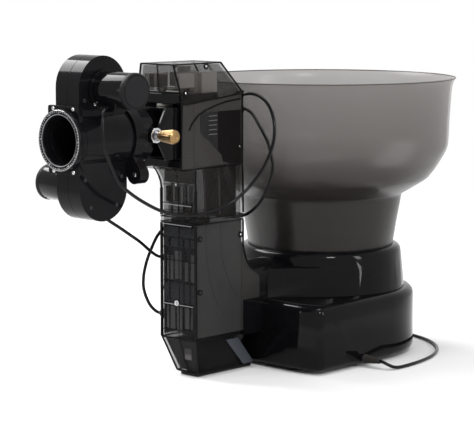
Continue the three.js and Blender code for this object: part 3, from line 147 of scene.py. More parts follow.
class Look:
    def __init__(self, owner, end="ShaderNodeOutputMaterial"):
        self.owner = owner
        owner.use_nodes = True
        self.tree = owner.node_tree
        self.tree.nodes.clear()
        self.end = self.tree.nodes.new(end)

    def add(self, kind, settings, inputs, out=0):
        node = self.tree.nodes.new(kind)
        for key, value in settings.items():
            if key == "stops":
                self.setStops(node, value)
            else:
                setattr(node, key, value)
        for key, value in inputs.items():
            socket = node.inputs[key]
            if isinstance(value, Wire):
                self.tree.links.new(value.socket, socket)
            else:
                socket.default_value = value
        return Wire(self, node.outputs[out])

    def setStops(self, node, stops):
        ramp = node.color_ramp
        while len(ramp.elements) < len(stops):
            ramp.elements.new(0.5)
        for element, (place, shade) in zip(ramp.elements, stops):
            element.position = place
            element.color = (shade, shade, shade, 1)

    def place(self):
        return self.add("ShaderNodeTexCoord", {}, {}, "Object")

    def stretched(self, scale):
        return self.add("ShaderNodeMapping", {}, {"Vector": self.place(), "Scale": scale})

    def noise(self, scale, detail=3.0, vector=None):
        return self.add(
            "ShaderNodeTexNoise",
            {},
            {"Vector": vector or self.place(), "Scale": scale, "Detail": detail},
            "Fac",
        )

    def ramp(self, value, *stops):
        return self.add("ShaderNodeValToRGB", {"stops": stops}, {"Fac": value}, "Color")

    def mix(self, amount, a, b):
        return self.add("ShaderNodeMix", {"data_type": "RGBA"}, {0: amount, 6: a, 7: b}, 2)

    def bump(self, height, strength, distance=0.0001):
        return self.add("ShaderNodeBump", {}, {"Height": height, "Strength": strength, "Distance": distance})

    def height(self):
        return self.add("ShaderNodeSeparateXYZ", {}, {0: self.place()}, "Z")

    def surface(self, **inputs):
        named = {key.replace("_", " "): value for key, value in inputs.items()}
        return self.finish(self.add("ShaderNodeBsdfPrincipled", {}, named))

    def finish(self, shader):
        self.tree.links.new(shader.socket, self.end.inputs["Surface"])
        return self.owner


def newLook(name):
    return Look(bpy.data.materials.new(name))


def rgb(r, g, b):
    return (r, g, b, 1.0)


looks = {}
finishes = {
    # shades from dark to light, and how rough, reflective and lacquered the moulding is
    "blackGloss": {"dark": 0.0022, "light": 0.0045, "rough": 0.06, "specular": 0.08, "coat": 0.05},
    "headGloss": {"dark": 0.0030, "light": 0.0060, "rough": 0.12, "specular": 0.045, "coat": 0.085},
    "smoke": {"tint": (0.0060, 0.0058, 0.0060), "opacity": 0.43, "rough": 0.05},
    "paleSmoke": {"tint": (0.0080, 0.0070, 0.0064), "opacity": 0.37, "rough": 0.05},
    "frost": {
        "tint": (0.098, 0.083, 0.076),
        # deep is painted shade: the dark colour low in the bowl and its neck, where the inside lies in shadow
        "deep": (0.0050, 0.0042, 0.0038),
        "rough": 0.30,
        "bottom": 0.108,  # m, where the change from deep to tint starts and ends
        "top": 0.285,
        # share of the way up, share of the tint or opacity
        "tintStops": [(0.0, 0.0), (0.4, 0.12), (0.62, 0.7), (1.0, 1.0)],
        "opacityStops": [(0.0, 0.89), (0.32, 0.78), (0.6, 0.48), (1.0, 0.40)],
    },
}
satins = {
    # look: material, colour, roughness, grain scale, specular
    "satin": ("blackSatin", (0.011, 0.011, 0.012), 0.38),
    "rubber": ("softRubber", (0.013, 0.012, 0.011), 0.72, 700),
    "cord": ("cordJacket", (0.0024, 0.0024, 0.0030), 0.14, 400, 0.14),
    "tyre": ("wheelTyre", (0.045, 0.038, 0.032), 0.75, 500),
    "grey": ("greyMoulding", (0.27, 0.26, 0.24), 0.42),
    "pale": ("paleSmoke", (0.027, 0.031, 0.038), 0.20),
    "motorEnd": ("motorEndCap", (0.0060, 0.0060, 0.0068), 0.45, 900, 0.11),
    "rimLine": ("rimEdge", (0.028, 0.026, 0.025), 0.3, 400),
    "mid": ("midGreyMoulding", (0.24, 0.235, 0.245), 0.5),
    "dusk": ("duskPlate", (0.066, 0.070, 0.082), 0.6),
    "haze": ("smokeHaze", (0.049, 0.047, 0.046), 0.5),
    "paleHaze": ("paleHaze", (0.044, 0.041, 0.039), 0.5),
    "guide": ("smokeRib", (0.040, 0.038, 0.036), 0.5),
    # pale grey: the muzzle's inner rim, and painted highlight lines inside the column
    "mark": ("paleEdge", (0.20, 0.20, 0.21), 0.4),
    # near-black: dark joints and bosses, and also painted dark reflection and shade on the clear edges, in the chin
    # and on the hood's sides
    "line": ("darkEdgeAndPaintedShade", (0.0012, 0.0012, 0.0014), 0.35, 300, 0.06),
    "inner": ("innerMoulding", (0.44, 0.41, 0.39), 0.45),
    "white": ("dialPaint", (0.62, 0.63, 0.63), 0.45),
}
metals = {
    # look: material, colour, roughness, stretch of the brushing along X, Y and Z
    "steel": ("platedSteel", (0.66, 0.66, 0.67), 0.16, (1, 1, 14)),
    "brass": ("turnedBrass", (0.33, 0.21, 0.092), 0.28, (14, 1, 1)),
    "dullSteel": ("dullSteel", (0.30, 0.30, 0.31), 0.26, (14, 1, 1)),
}


def makeBlackGloss(name, dark, light, rough, specular, coat):
    look = newLook(name)
    cloud = look.noise(38, 4)
    dust = look.noise(900, 2) > 0.71
    color = look.mix(cloud, rgb(dark, dark, dark * 1.2), rgb(light, light, light * 1.15))
    color = look.mix(dust * 0.03, color, rgb(0.25, 0.25, 0.25))
    smear = look.noise(22, 5, look.stretched((1, 1, 4)))
    peel = look.noise(420, 2)
    return look.surface(
        Base_Color=color,
        Roughness=smear * 0.10 + rough * 0.6 + dust * 0.2,
        Specular_IOR_Level=specular,
        Coat_Weight=coat,
        Coat_Roughness=0.03,
        Normal=look.bump(peel, 0.04),
    )


def makeSmoke(name, tint, opacity, rough):
    look = newLook(name)
    flow = look.noise(16, 3, look.stretched((1.0, 1.0, 0.35)))
    scuff = look.noise(700, 2, look.stretched((1, 1, 0.2))) > 0.74
    color = look.mix(flow, rgb(*tint), rgb(*(c * 1.9 for c in tint)))
    color = look.mix(scuff * 0.05, color, rgb(0.1, 0.1, 0.1))
    ripple = look.noise(60, 2)
    return look.surface(
        Base_Color=color,
        Roughness=flow * 0.05 + rough + scuff * 0.15,
        Specular_IOR_Level=0.06,
        Alpha=flow * 0.10 + opacity - 0.05,
        Coat_Weight=0.03,
        Coat_Roughness=0.03,
        Normal=look.bump(ripple, 0.04, 0.0003),
    )


def makeFrost(tint, deep, rough, bottom, top, tintStops, opacityStops):
    look = newLook("frostedSmokeShadedBelow")
    limits = {"Value": look.height(), "From Min": bottom, "From Max": top}
    rise = look.add("ShaderNodeMapRange", {}, limits)
    cloud = look.noise(14, 4)
    # darker towards the bottom: painted shade in the bowl's neck, changing to the tint higher up
    color = look.mix(look.ramp(rise, *tintStops), rgb(*deep), rgb(*tint))
    color = look.mix(cloud * 0.15, color, rgb(0.12, 0.108, 0.10))
    return look.surface(
        Base_Color=color,
        Roughness=cloud * 0.1 + rough - 0.05,
        Specular_IOR_Level=0.18,
        Alpha=look.ramp(rise, *opacityStops) + cloud * 0.06 - 0.03,
        Coat_Weight=0.10,
        Coat_Roughness=0.12,
        Normal=look.bump(cloud, 0.02),
    )


def makeSatin(name, base, rough, grainScale=1100, specular=0.25):
    look = newLook(name)
    grain = look.noise(grainScale, 3)
    cloud = look.noise(30, 4)
    return look.surface(
        Base_Color=look.mix(cloud, rgb(*base), rgb(*(c * 1.5 + 0.002 for c in base))),
        Roughness=cloud * 0.14 + rough,
        Specular_IOR_Level=specular,
        Normal=look.bump(grain, 0.08),
    )


def makeMetal(name, base, rough, along):
    look = newLook(name)
    brush = look.noise(240, 3, look.stretched(along))
    tarnish = look.noise(45, 4)
    return look.surface(
        Base_Color=look.mix(tarnish, rgb(*base), rgb(*(c * 0.72 for c in base))),
        Metallic=1.0,
        Roughness=brush * 0.14 + rough,
        Normal=look.bump(brush, 0.08),
    )


def makeBoard():
    look = newLook("circuitBoard")
    bricks = {"Scale": 160.0, "Mortar Size": 0.012, "Brick Width": 0.7, "Row Height": 0.25}
    tracks = look.add("ShaderNodeTexBrick", {"offset": 0.5}, {"Vector": look.place(), **bricks}, "Fac")
    cloud = look.noise(120, 3)
    color = look.mix(cloud, rgb(0.010, 0.016, 0.034), rgb(0.02, 0.03, 0.06))
    return look.surface(
        Base_Color=look.mix(tracks * 0.6, color, rgb(0.06, 0.07, 0.11)),
        Roughness=cloud * 0.2 + 0.35,
        Normal=look.bump(tracks, 0.2),
    )


def makeLooks():
    looks["gloss"] = makeBlackGloss("blackGloss", **finishes["blackGloss"])
    looks["head"] = makeBlackGloss("headGloss", **finishes["headGloss"])
    looks["smoke"] = makeSmoke("smokedClear", **finishes["smoke"])
    looks["hoodSmoke"] = makeSmoke("hoodSmoke", **finishes["paleSmoke"])
    looks["frost"] = makeFrost(**finishes["frost"])
    for look, settings in satins.items():
        looks[look] = makeSatin(*settings)
    for look, settings in metals.items():
        looks[look] = makeMetal(*settings)
    looks["board"] = makeBoard()


def seenDirectly(look):
    # 1 for what the camera, a reflection or a clear piece shows, 0 for light that falls on the robot
    rays = ("Is Camera Ray", "Is Glossy Ray", "Is Transmission Ray")
    camera, glossy, clear = (look.add("ShaderNodeLightPath", {}, {}, ray) for ray in rays)
    return look.add("ShaderNodeMath", {"operation": "ADD", "use_clamp": True}, {0: camera + glossy, 1: clear})


def makeStudio():
    floorLook = newLook("paleFloor")
    speck = floorLook.noise(5, 4)
    shade = studio["floorColor"]
    darker = tuple(c * 0.985 for c in shade[:3]) + (1,)
    finish = {"Base Color": floorLook.mix(speck, shade, darker), "Roughness": 0.7, "Specular IOR Level": 0.1}
    matt = floorLook.add("ShaderNodeBsdfPrincipled", {}, finish)
    white = floorLook.add("ShaderNodeEmission", {}, {"Color": rgb(1, 1, 1), "Strength": 1.0})
    distance = floorLook.add("ShaderNodeVectorMath", {"operation": "LENGTH"}, {0: floorLook.place()}, "Value")
    limits = {"Value": distance, "From Min": studio["fadeStart"], "From Max": studio["fadeEnd"]}
    fade = floorLook.add("ShaderNodeMapRange", {"interpolation_type": "SMOOTHSTEP"}, limits)
    share = fade * seenDirectly(floorLook)
    floorLook.finish(floorLook.add("ShaderNodeMixShader", {}, {0: share, 1: matt, 2: white}))
    half = studio["floorSize"] / 2
    mesh = bpy.data.meshes.new("floor")
    corners = [(-half, -half, 0), (half, -half, 0), (half, half, 0), (-half, half, 0)]
    mesh.from_pydata(corners, [], [(0, 1, 2, 3)])
    mesh.materials.append(floorLook.owner)
    floor = bpy.data.objects.new("floor", mesh)
    floor.location.z = cadBox[0][2] - studio["floorDrop"]
    bpy.context.scene.collection.objects.link(floor)

    world = bpy.data.worlds.new("studio")
    bpy.context.scene.world = world
    sky = Look(world, "ShaderNodeOutputWorld")
    limits = {"Value": seenDirectly(sky), "To Min": studio["worldLight"], "To Max": 1.0}
    strength = sky.add("ShaderNodeMapRange", {}, limits)
    sky.finish(sky.add("ShaderNodeBackground", {}, {"Color": rgb(1, 1, 1), "Strength": strength}))

    for name, place, (wide, tall), watts in studio["lamps"]:
        lamp = bpy.data.lights.new(name, "AREA")
        lamp.shape = "RECTANGLE"
        lamp.size = wide
        lamp.size_y = tall
        lamp.energy = watts
        holder = bpy.data.objects.new(name, lamp)
        holder.location = place
        aim = Vector(studio["aim"]) - Vector(place)
        holder.rotation_euler = aim.to_track_quat("-Z", "Y").to_euler()
        bpy.context.scene.collection.objects.link(holder)


# Mesh makers. Outlines are in mm about the bowl's axis.
softAngle = math.radians(32)  # faces that meet at less are shaded as one
roundAngle = math.radians(50)


def addPiece(name, mesh, smooth=softAngle):
    mesh.shade_smooth()
    mesh.set_sharp_from_angle(angle=smooth)
    piece = bpy.data.objects.new(name, mesh)
    bpy.context.scene.collection.objects.link(piece)
    return piece


def newPiece(name, bm, look, smooth=softAngle):
    bmesh.ops.recalc_face_normals(bm, faces=bm.faces)
    mesh = bpy.data.meshes.new(name)
    bm.to_mesh(mesh)
    bm.free()
    mesh.materials.append(looks[look])
    return addPiece(name, mesh, smooth)


def bridge(bm, a, b):
    # faces between two loops of as many points
    for k in range(len(a)):
        j = (k + 1) % len(a)
        bm.faces.new((a[k], a[j], b[j], b[k]))


def solid(name, low, high, look):
    # a closed solid between two outlines of as many points
    bm = bmesh.new()
    loops = [[bm.verts.new(at(*p)) for p in outline] for outline in (low, high)]
    for loop in loops:
        bm.faces.new(loop)
    bridge(bm, *loops)
    return newPiece(name, bm, look)


def bevelled(piece, width, segments=2, angle=38):
    edge = piece.modifiers.new("edge", "BEVEL")
    edge.width = width / 1000
    edge.segments = segments
    edge.limit_method = "ANGLE"
    edge.angle_limit = math.radians(angle)
    edge.use_clamp_overlap = True
    edge.harden_normals = True
    edge.miter_outer = "MITER_ARC"
    graph = bpy.context.evaluated_depsgraph_get()
    mesh = bpy.data.meshes.new_from_object(piece.evaluated_get(graph))
    piece.modifiers.clear()
    piece.data = mesh
    return piece


axes = {
    "x": lambda u, v, w: (w, u, v),  # outline in (Y, Z)
    "y": lambda u, v, w: (u, w, v),  # outline in (X, Z)
    "z": lambda u, v, w: (u, v, w),  # outline in (X, Y)
}


def prism(name, outline, along, start, end, look):
    turn = axes[along]
    return solid(name, [turn(u, v, start) for u, v in outline], [turn(u, v, end) for u, v in outline], look)


def block(name, low, high, look):
    (x0, y0, z0), (x1, y1, z1) = low, high
    return prism(name, [(x0, y0), (x1, y0), (x1, y1), (x0, y1)], "z", z0, z1, look)


def lathe(name, profile, along, centre, look, steps=96, smooth=softAngle):
    bm = bmesh.new()
    closed = profile[0] == profile[-1]
    points = profile[:-1] if closed else profile
    turns = [2 * math.pi * k / steps for k in range(steps)]
    rings = []
    for radius, rise in points:
        if radius < 1e-6:
            rings.append([bm.verts.new(at(*spun(0, rise, 0, along, centre)))])
            continue
        rings.append([bm.verts.new(at(*spun(radius, rise, turn, along, centre))) for turn in turns])
    pairs = list(zip(rings, rings[1:])) + ([(rings[-1], rings[0])] if closed else [])
    for a, b in pairs:
        for k in range(steps):
            j = (k + 1) % steps
            corners = [a[k % len(a)], a[j % len(a)], b[j % len(b)], b[k % len(b)]]
            face = list(dict.fromkeys(corners))
            if len(face) > 2:
                bm.faces.new(face)
    return newPiece(name, bm, look, smooth)


def spun(radius, rise, angle, along, centre):
    a, b = radius * math.cos(angle), radius * math.sin(angle)
    x, y, z = centre
    if along == "x":
        return (x + rise, y + a, z + b)
    if along == "y":
        return (x + a, y + rise, z + b)
    return (x + a, y + b, z + rise)


def smoothPath(points, step):
    knots = [Vector(p) for p in points]
    knots = [knots[0] * 2 - knots[1]] + knots + [knots[-1] * 2 - knots[-2]]
    path = []
    for i in range(1, len(knots) - 2):
        a, b, c, d = knots[i - 1 : i + 3]
        t = [0.0]
        for p, q in ((a, b), (b, c), (c, d)):
            t.append(t[-1] + max((q - p).length, 1e-6) ** 0.5)
        count = max(2, round((c - b).length / step))
        for k in range(count):
            s = t[1] + (t[2] - t[1]) * k / count
            p1 = a.lerp(b, (s - t[0]) / (t[1] - t[0]))
            p2 = b.lerp(c, (s - t[1]) / (t[2] - t[1]))
            p3 = c.lerp(d, (s - t[2]) / (t[3] - t[2]))
            q1 = p1.lerp(p2, (s - t[0]) / (t[2] - t[0]))
            q2 = p2.lerp(p3, (s - t[1]) / (t[3] - t[1]))
            path.append(q1.lerp(q2, (s - t[1]) / (t[2] - t[1])))
    path.append(knots[-2])
    return path


def tube(name, path, radius, startWay, endWay, sides):
    # a lead or cord along a path, with its ends square to the two ways
    bm = bmesh.new()
    rings = []
    up = Vector((0.03, 0.05, 1)).normalized()
    for i, here in enumerate(path):
        along = path[min(i + 1, len(path) - 1)] - path[max(i - 1, 0)]
        if i == 0:
            along = Vector(startWay)
        if i == len(path) - 1:
            along = Vector(endWay)
        along.normalize()
        up = (up - along * up.dot(along)).normalized()
        across = along.cross(up)
        ring = []
        for k in range(sides):
            turn = 2 * math.pi * k / sides
            spot = here + (across * math.cos(turn) + up * math.sin(turn)) * radius
            ring.append(bm.verts.new(at(*spot)))
        rings.append(ring)
    for a, b in zip(rings, rings[1:]):
        bridge(bm, a, b)
    bm.faces.new(rings[0])
    bm.faces.new(rings[-1])
    return newPiece(name, bm, "cord", roundAngle)


def merged(name, pieces):
    # one piece of several, with the first one's finishes
    bm = bmesh.new()
    for piece in pieces:
        piece.data.transform(piece.matrix_world)
        bm.from_mesh(piece.data)
    materials = list(pieces[0].data.materials)
    for piece in pieces:
        bpy.data.objects.remove(piece, do_unlink=True)
    mesh = bpy.data.meshes.new(name)
    bm.to_mesh(mesh)
    bm.free()
    for material in materials:
        mesh.materials.append(material)
    return addPiece(name, mesh)


def rideAs(piece, body):
    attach(piece, body)


# Leads and cord: the same routes as the solids, in mm about the bowl's axis
leadStyle = {
    "radius": 1.6,
    "step": 2.4,
    "sides": 14,
    "turnPoints": 4,  # route points from a part's start to a spot that is worked out and not used
}
leadRoutes = {
    "upperMotorLead": {
        "replaces": "upper_motor_lead",
        "parts": [
            # name, body, or the two bodies that it runs between and is left unattached to, from point, to point
            ("upperMotorLeadFront", "head", 0, 9),
            ("upperMotorLeadTurn", ("head", "tilt"), 9, 12),
            ("upperMotorLeadMiddle", ("tilt", "swing"), 12, 14),
            ("upperMotorLeadRear", ("swing", "stand"), 14, None),
        ],
        "route": [
            (40, -334, 272.5), (40, -337.3, 272.5), (41.5, -342, 270), (44, -346.2, 262.5), (45.6, -347.9, 253),
            (46, -347.4, 243), (46, -344.2, 232.8), (45, -336.2, 217.7), (44, -326.9, 204.2), (44, -312, 193),
            (44, -295.9, 183.7), (44, -275.6, 174.4), (43, -256.5, 169.3), (42, -233.2, 165.1), (42, -206.3, 167.3),
            (43, -185.3, 171.2), (46, -169, 179.7), (52, -153.6, 195.4), (57, -144.1, 212.5), (60, -138.9, 228.8),
            (59, -136, 245), (50.5, -133.5, 262.5), (41, -134.8, 271.5), (31, -138, 275.2), (24.2, -140.4, 274.6),
            (20.8, -140.4, 274.6),
        ],
        "startWay": (0, -1, 0),
        "endWay": (-1, 0, 0),
    },
    "columnLead": {
        "replaces": "column_lead",
        "parts": [("columnLead", "stand", 0, None)],
        "route": [
            (20.8, -140.4, 260), (24.2, -140.4, 260), (30, -138, 256.5), (40, -134.6, 241), (50, -134.8, 226.8),
            (55, -135.6, 213.6), (57, -136, 204.1), (54, -136.6, 192.2), (47, -136.2, 178.9), (36, -136.4, 165.2),
            (20, -136.8, 155), (2, -136.8, 152.4), (-16, -137.4, 152), (-28, -141.5, 151.8), (-33.5, -150.5, 151.4),
            (-34.5, -165, 150.6), (-34.5, -182, 148), (-34.5, -194.5, 142.8), (-37, -201, 135.5), (-40, -206.6, 123),
            (-42, -211.9, 108.8), (-43, -214.6, 95.1), (-42.4, -215.2, 85), (-41, -212.4, 74), (-39.5, -208, 65.6),
            (-36.8, -203.8, 60.6), (-34.8, -202.5, 59.5), (-31.5, -202.5, 59.5),
        ],
        "startWay": (1, 0, 0),
        "endWay": (1, 0, 0),
    },
    "lowerMotorLead": {
        "replaces": "lower_motor_lead",
        "parts": [
            ("lowerMotorLeadFront", ("head", "tilt"), 0, 6),
            ("lowerMotorLeadMiddle", ("tilt", "swing"), 6, 8),
            ("lowerMotorLeadRear", ("swing", "stand"), 8, None),
        ],
        "route": [
            (-40, -306.4, 182.5), (-40, -303, 182.5), (-39.4, -297, 180.4), (-37.6, -287.5, 173.5),
            (-35.4, -278.5, 165.3), (-33, -270.1, 157.9), (-31, -256.5, 149.1), (-30, -244.3, 141.2),
            (-30, -231.1, 132.9), (-31.4, -216.9, 122.9), (-33.8, -205.5, 116.6), (-34.9, -199.2, 114.6),
            (-31.5, -198.5, 114.5),
        ],
        "startWay": (0, 1, 0),
        "endWay": (1, 0, 0),
    },
}
powerCord = {
    "radius": 1.65,
    "step": 3,
    "route": [
        (118.4, -44, 8), (121.8, -43.9, 7.8), (126.5, -42, 5.6), (129.4, -37, 3), (130.4, -29, 1.75),
        (130.2, -14, 1.7), (127.6, 8, 1.7), (121.6, 32, 1.7), (112, 54, 1.7), (98.5, 74, 1.7), (80.5, 91, 1.7),
        (58, 104, 1.7), (34, 112, 1.7), (10, 116.4, 1.7), (-14, 118.8, 1.7), (-38, 120.6, 1.7), (-60, 122, 1.7),
        (-80, 122.8, 1.7), (-91.4, 122.8, 1.7),
    ],
    "coilMiddle": (-95, 98),
    "turns": 11.25,
    "layers": 4,
    "pitch": 3.85,
    "outer": 25.2,
    "layerChange": 0.25,  # share of a turn before and after the step from one layer to the next
    "stepsPerTurn": 36,
    "tail": 34,
    "plugHeight": 8,
    # shares of the tail's run and of its drop from the coil to the plug
    "tailDrop": [
        (0.2, 0), (0.3, 0.015), (0.4, 0.06), (0.5, 0.2), (0.6, 0.45), (0.7, 0.74), (0.8, 0.94), (0.9, 1), (1, 1),
    ],
}
plug = {
    "gap": 0.3,
    # half width, distance behind the cord's end
    "outline": [(4, 0), (5, 6), (11, 14), (11, 31), (8, 34)],
    "halfThick": 7,
    "edge": 2.2,
    # radius, distance from the tip
    "pin": [(0, 0), (1.5, 0.4), (2, 1.4), (2, 18.2), (0, 18.2)],
    "pinTip": 52,
    "pinSide": 6.5,
    "grips": 4,
    "gripStart": 29,
    "gripPitch": 3.2,
    "gripSide": 10.4,
    "gripSize": (0.9, 1.6, 5.5),  # half width, length, half height
}
cordRelief = {
    "centre": (0, -44, 8),
    "start": 98.1,
    "end": 118.1,
    "neck": [(0, -3), (2.7, -3), (2.7, 0), (4.6, 0), (4.6, 2.2)],
    "tip": [(2.4, -0.6), (2.1, 0), (0, 0)],
    "rings": 5,
    "firstRing": 3,
    "ringPitch": 3,
    "ringRadius": 4.1,
    "ringTaper": 0.32,
    # depth under the ring's radius, place along the ring
    "ring": [(0.7, 0), (0.7, 0.7), (0, 0.9), (0, 2.4)],
}
cordTie = {"wide": 5, "thick": 0.9, "turn": 205, "gap": 0.5, "inside": 0.05, "under": 0.02}


def pathLength(path):
    return sum((b - a).length for a, b in zip(path, path[1:])) / 1000


def makeLeads():
    for lead in leadRoutes.values():
        route = [Vector(p) for p in lead["route"]]
        path = smoothPath(route, leadStyle["step"])
        picks = [min(range(len(path)), key=lambda k: (path[k] - p).length) for p in route]
        for name, bodies, first, last in lead["parts"]:
            a = picks[first]
            b = picks[last] if last else len(path) - 1
            part = path[a : b + 1]
            startWay = lead["startWay"] if a == 0 else path[a + 1] - path[a - 1]
            endWay = lead["endWay"] if b == len(path) - 1 else path[b + 1] - path[b - 1]
            piece = tube(name, part, leadStyle["radius"], startWay, endWay, leadStyle["sides"])
            if isinstance(bodies, str):
                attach(piece, bodies)
            else:
                finish = part[-1] if last else path[picks[min(first + leadStyle["turnPoints"], len(picks) - 1)]]
                at(*part[0])
                at(*finish)
                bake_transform(piece)
            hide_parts(lead["replaces"])
            at(*part[0])
            pathLength(part)
            [at(*p) for p in part]


def coilPoint(turn):
    c = powerCord
    perLayer = c["turns"] / c["layers"]
    layer = min(int(turn / perLayer), c["layers"] - 1)
    along = turn - layer * perLayer
    inward = along if layer % 2 == 0 else perLayer - along
    radius = c["outer"] - c["pitch"] * inward
    height = layer
    edge = round(turn / perLayer)
    apart = turn - edge * perLayer
    if 0 < edge < c["layers"] and abs(apart) < c["layerChange"]:
        height = edge - 0.5 + 0.5 * math.sin(2 * math.pi * apart)
    angle = 2 * math.pi * (turn + 0.25)
    x, y = c["coilMiddle"]
    rest = c["route"][-1][2]
    return Vector(spun(radius, height * c["pitch"], angle, "z", (x, y, rest)))


def makePowerCord():
    c = powerCord
    free = smoothPath(c["route"], c["step"])
    cord = tube("powerCord", free, c["radius"], (1, 0, 0), (-1, 0, 0), 14)
    count = round(c["turns"] * c["stepsPerTurn"])
    coil = [coilPoint(c["turns"] * k / count) for k in range(count + 1)]
    coil.insert(0, coil[0] + Vector((c["radius"] * 2, 0, 0)))
    last = coil[-1].copy()
    drop = last.z - c["plugHeight"]
    coil += [last - Vector((0, c["tail"] * run, drop * down)) for run, down in c["tailDrop"]]
    wound = tube("powerCordCoil", coil, c["radius"], (-1, 0, 0), (0, -1, 0), 12)
    end = makePlug(coil[-1])
    relief = makeCordRelief()
    tie = makeTie()
    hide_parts("power_cord")
    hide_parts("power_cord_coil")
    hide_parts("power_plug")
    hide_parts("cord_grommet")
    for piece in (cord, wound, end, relief, tie):
        rideAs(piece, "stand")
    at(*free[0])
    pathLength(free)
    [at(*p) for p in free]
    at(*coil[0])
    pathLength(coil)
    [at(*p) for p in coil]
    say("power cord %.2f m in all" % (pathLength(free) + pathLength(coil)))


def makePlug(tip):
    x, y, z = tip
    near = y - plug["gap"]
    outline = [(x - wide, near - back) for wide, back in plug["outline"]]
    outline += [(x + wide, near - back) for wide, back in reversed(plug["outline"])]
    body = prism("powerPlug", outline, "z", z - plug["halfThick"], z + plug["halfThick"], "satin")
    bevelled(body, plug["edge"], 4, 20)
    body.data.materials.append(looks["steel"])
    pieces = [body]
    for way in (-1, 1):
        spot = (x + way * plug["pinSide"], near - plug["pinTip"], z)
        pin = lathe("pin", plug["pin"], "y", spot, "steel", 24)
        for face in pin.data.polygons:
            face.material_index = 1
        pieces.append(pin)
    wide, long, tall = plug["gripSize"]
    for way in (-1, 1):
        side = x + way * plug["gripSide"]
        for k in range(plug["grips"]):
            start = near - plug["gripStart"] + k * plug["gripPitch"]
            grip = block("grip", (side - wide, start, z - tall), (side + wide, start + long, z + tall), "satin")
            pieces.append(bevelled(grip, 0.4))
    return merged("powerPlug", pieces)


def makeCordRelief():
    c = cordRelief
    profile = [(r, c["start"] + h) for r, h in c["neck"]]
    for k in range(c["rings"]):
        start = c["start"] + c["firstRing"] + k * c["ringPitch"]
        radius = c["ringRadius"] - k * c["ringTaper"]
        profile += [(radius - deep, start + h) for deep, h in c["ring"]]
    profile += [(r, c["end"] + h) for r, h in c["tip"]]
    return lathe("cordRelief", profile, "x", c["centre"], "rubber", 32)


def makeTie():
    # a band round the coil's section
    c, thick, gap = powerCord, cordTie["thick"], cordTie["gap"]
    inner = c["outer"] - c["pitch"] * c["turns"] / c["layers"] - c["radius"] - gap
    outer = c["outer"] + c["radius"] + gap
    low, under = cordTie["inside"], cordTie["under"]
    high = c["route"][-1][2] + (c["layers"] - 1) * c["pitch"] + c["radius"] + gap
    ring = [(inner, low), (outer, low), (outer, high), (inner, high)]
    grown = [(inner - thick, under), (outer + thick, under)]
    grown += [(outer + thick, high + thick), (inner - thick, high + thick)]
    bm = bmesh.new()
    turn = math.radians(cordTie["turn"])
    out = Vector((math.cos(turn), math.sin(turn), 0))
    side = Vector((-math.sin(turn), math.cos(turn), 0)) * (cordTie["wide"] / 2)
    middle = Vector((*c["coilMiddle"], 0))
    up = Vector((0, 0, 1))
    loops = []
    for shape in (ring, grown):
        for way in (-1, 1):
            loops.append([bm.verts.new(at(*(middle + out * r + side * way + up * h))) for r, h in shape])
    for a, b in ((0, 1), (1, 3), (3, 2), (2, 0)):
        bridge(bm, loops[a], loops[b])
    return bevelled(newPiece("cordTie", bm, "rubber"), 0.3)


# CAD nodes dressed as they are: the same solid with eased edges and a finish
dressed = {
    # node: (finish, edge radius in mm)
    "base_plate": ("satin", 0.4),
    "lower_shell_left": ("smoke", 0.35),
    "lower_shell_right": ("smoke", 0.35),
    "upper_shell_left": ("hoodSmoke", 0.35),
    "upper_shell_right": ("hoodSmoke", 0.35),
    "lower_duct_front": ("smoke", 0.2),
    "lower_duct_rear": ("smoke", 0.2),
    "upper_duct_front": ("smoke", 0.2),
    "ball_deflector": ("satin", 0.3),
    "turret_platform": ("gloss", 0.6),
    "turret_cap": ("gloss", 0.6),
    "swing_bracket": ("gloss", 0.5),
    "swing_sector": ("grey", 0.2),
    "swing_lower_pin": ("steel", 0.3),
    "swing_pinion": ("brass", 0.15),
    "swing_motor": ("grey", 0.6),
    "rear_barrel": ("head", 0.5),
    "clamp_ring": ("head", 0.6),
    "tilt_washer": ("steel", 0.25),
    "tilt_rivet": ("steel", 0.25),
    "clamp_screw": ("steel", 0.3),
    "muzzle_plate": ("head", 0.5),
    "upper_motor_shaft": ("steel", 0.2),
    "lower_motor_shaft": ("steel", 0.2),
    "upper_wheel_hub": ("grey", 0.4),
    "lower_wheel_hub": ("grey", 0.4),
    "upper_wheel_tyre": ("tyre", 0.5),
    "lower_wheel_tyre": ("tyre", 0.5),
    "feed_disc": ("satin", 0.8),
    "agitator": ("satin", 0.5),
    "feed_shaft": ("steel", 0.3),
    "feed_motor": ("grey", 0.8),
    "control_board": ("board", 0.15),
    "front_foot_left": ("rubber", 0.8),
    "front_foot_right": ("rubber", 0.8),
    "rear_foot_left": ("rubber", 0.8),
    "rear_foot_right": ("rubber", 0.8),
    "chin_pad": ("rubber", 0.8),
    "hood_gland_upper": ("rubber", 0.5),
    "hood_gland_lower": ("rubber", 0.5),
    "column_gland_upper": ("rubber", 0.4),
    "column_gland_lower": ("rubber", 0.4),
    "base_housing": ("gloss", 0.6),
    "base_collar": ("gloss", 0.5),
    "head_shell_left": ("head", 2.2),
    "head_shell_right": ("head", 2.2),
    "upper_motor": ("gloss", 0.5),
    "lower_motor": ("gloss", 0.5),
}


def makeDressed():
    bodies = frame["record"]["behaviour"]["bodies"]
    bodyOf = {node: body for body, nodes in bodies.items() for node in nodes}
    for node, (look, edge) in dressed.items():
        bm = bmesh.new()
        bm.from_mesh(frame["nodes"][node].data)
        bmesh.ops.remove_doubles(bm, verts=bm.verts, dist=1e-6)
        bmesh.ops.dissolve_limit(bm, angle_limit=math.radians(0.6), verts=bm.verts, edges=bm.edges)
        first, *others = node.split("_")
        piece = bevelled(newPiece(first + "".join(word.capitalize() for word in others), bm, look), edge)
        rideAs(piece, bodyOf[node])
        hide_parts(node)


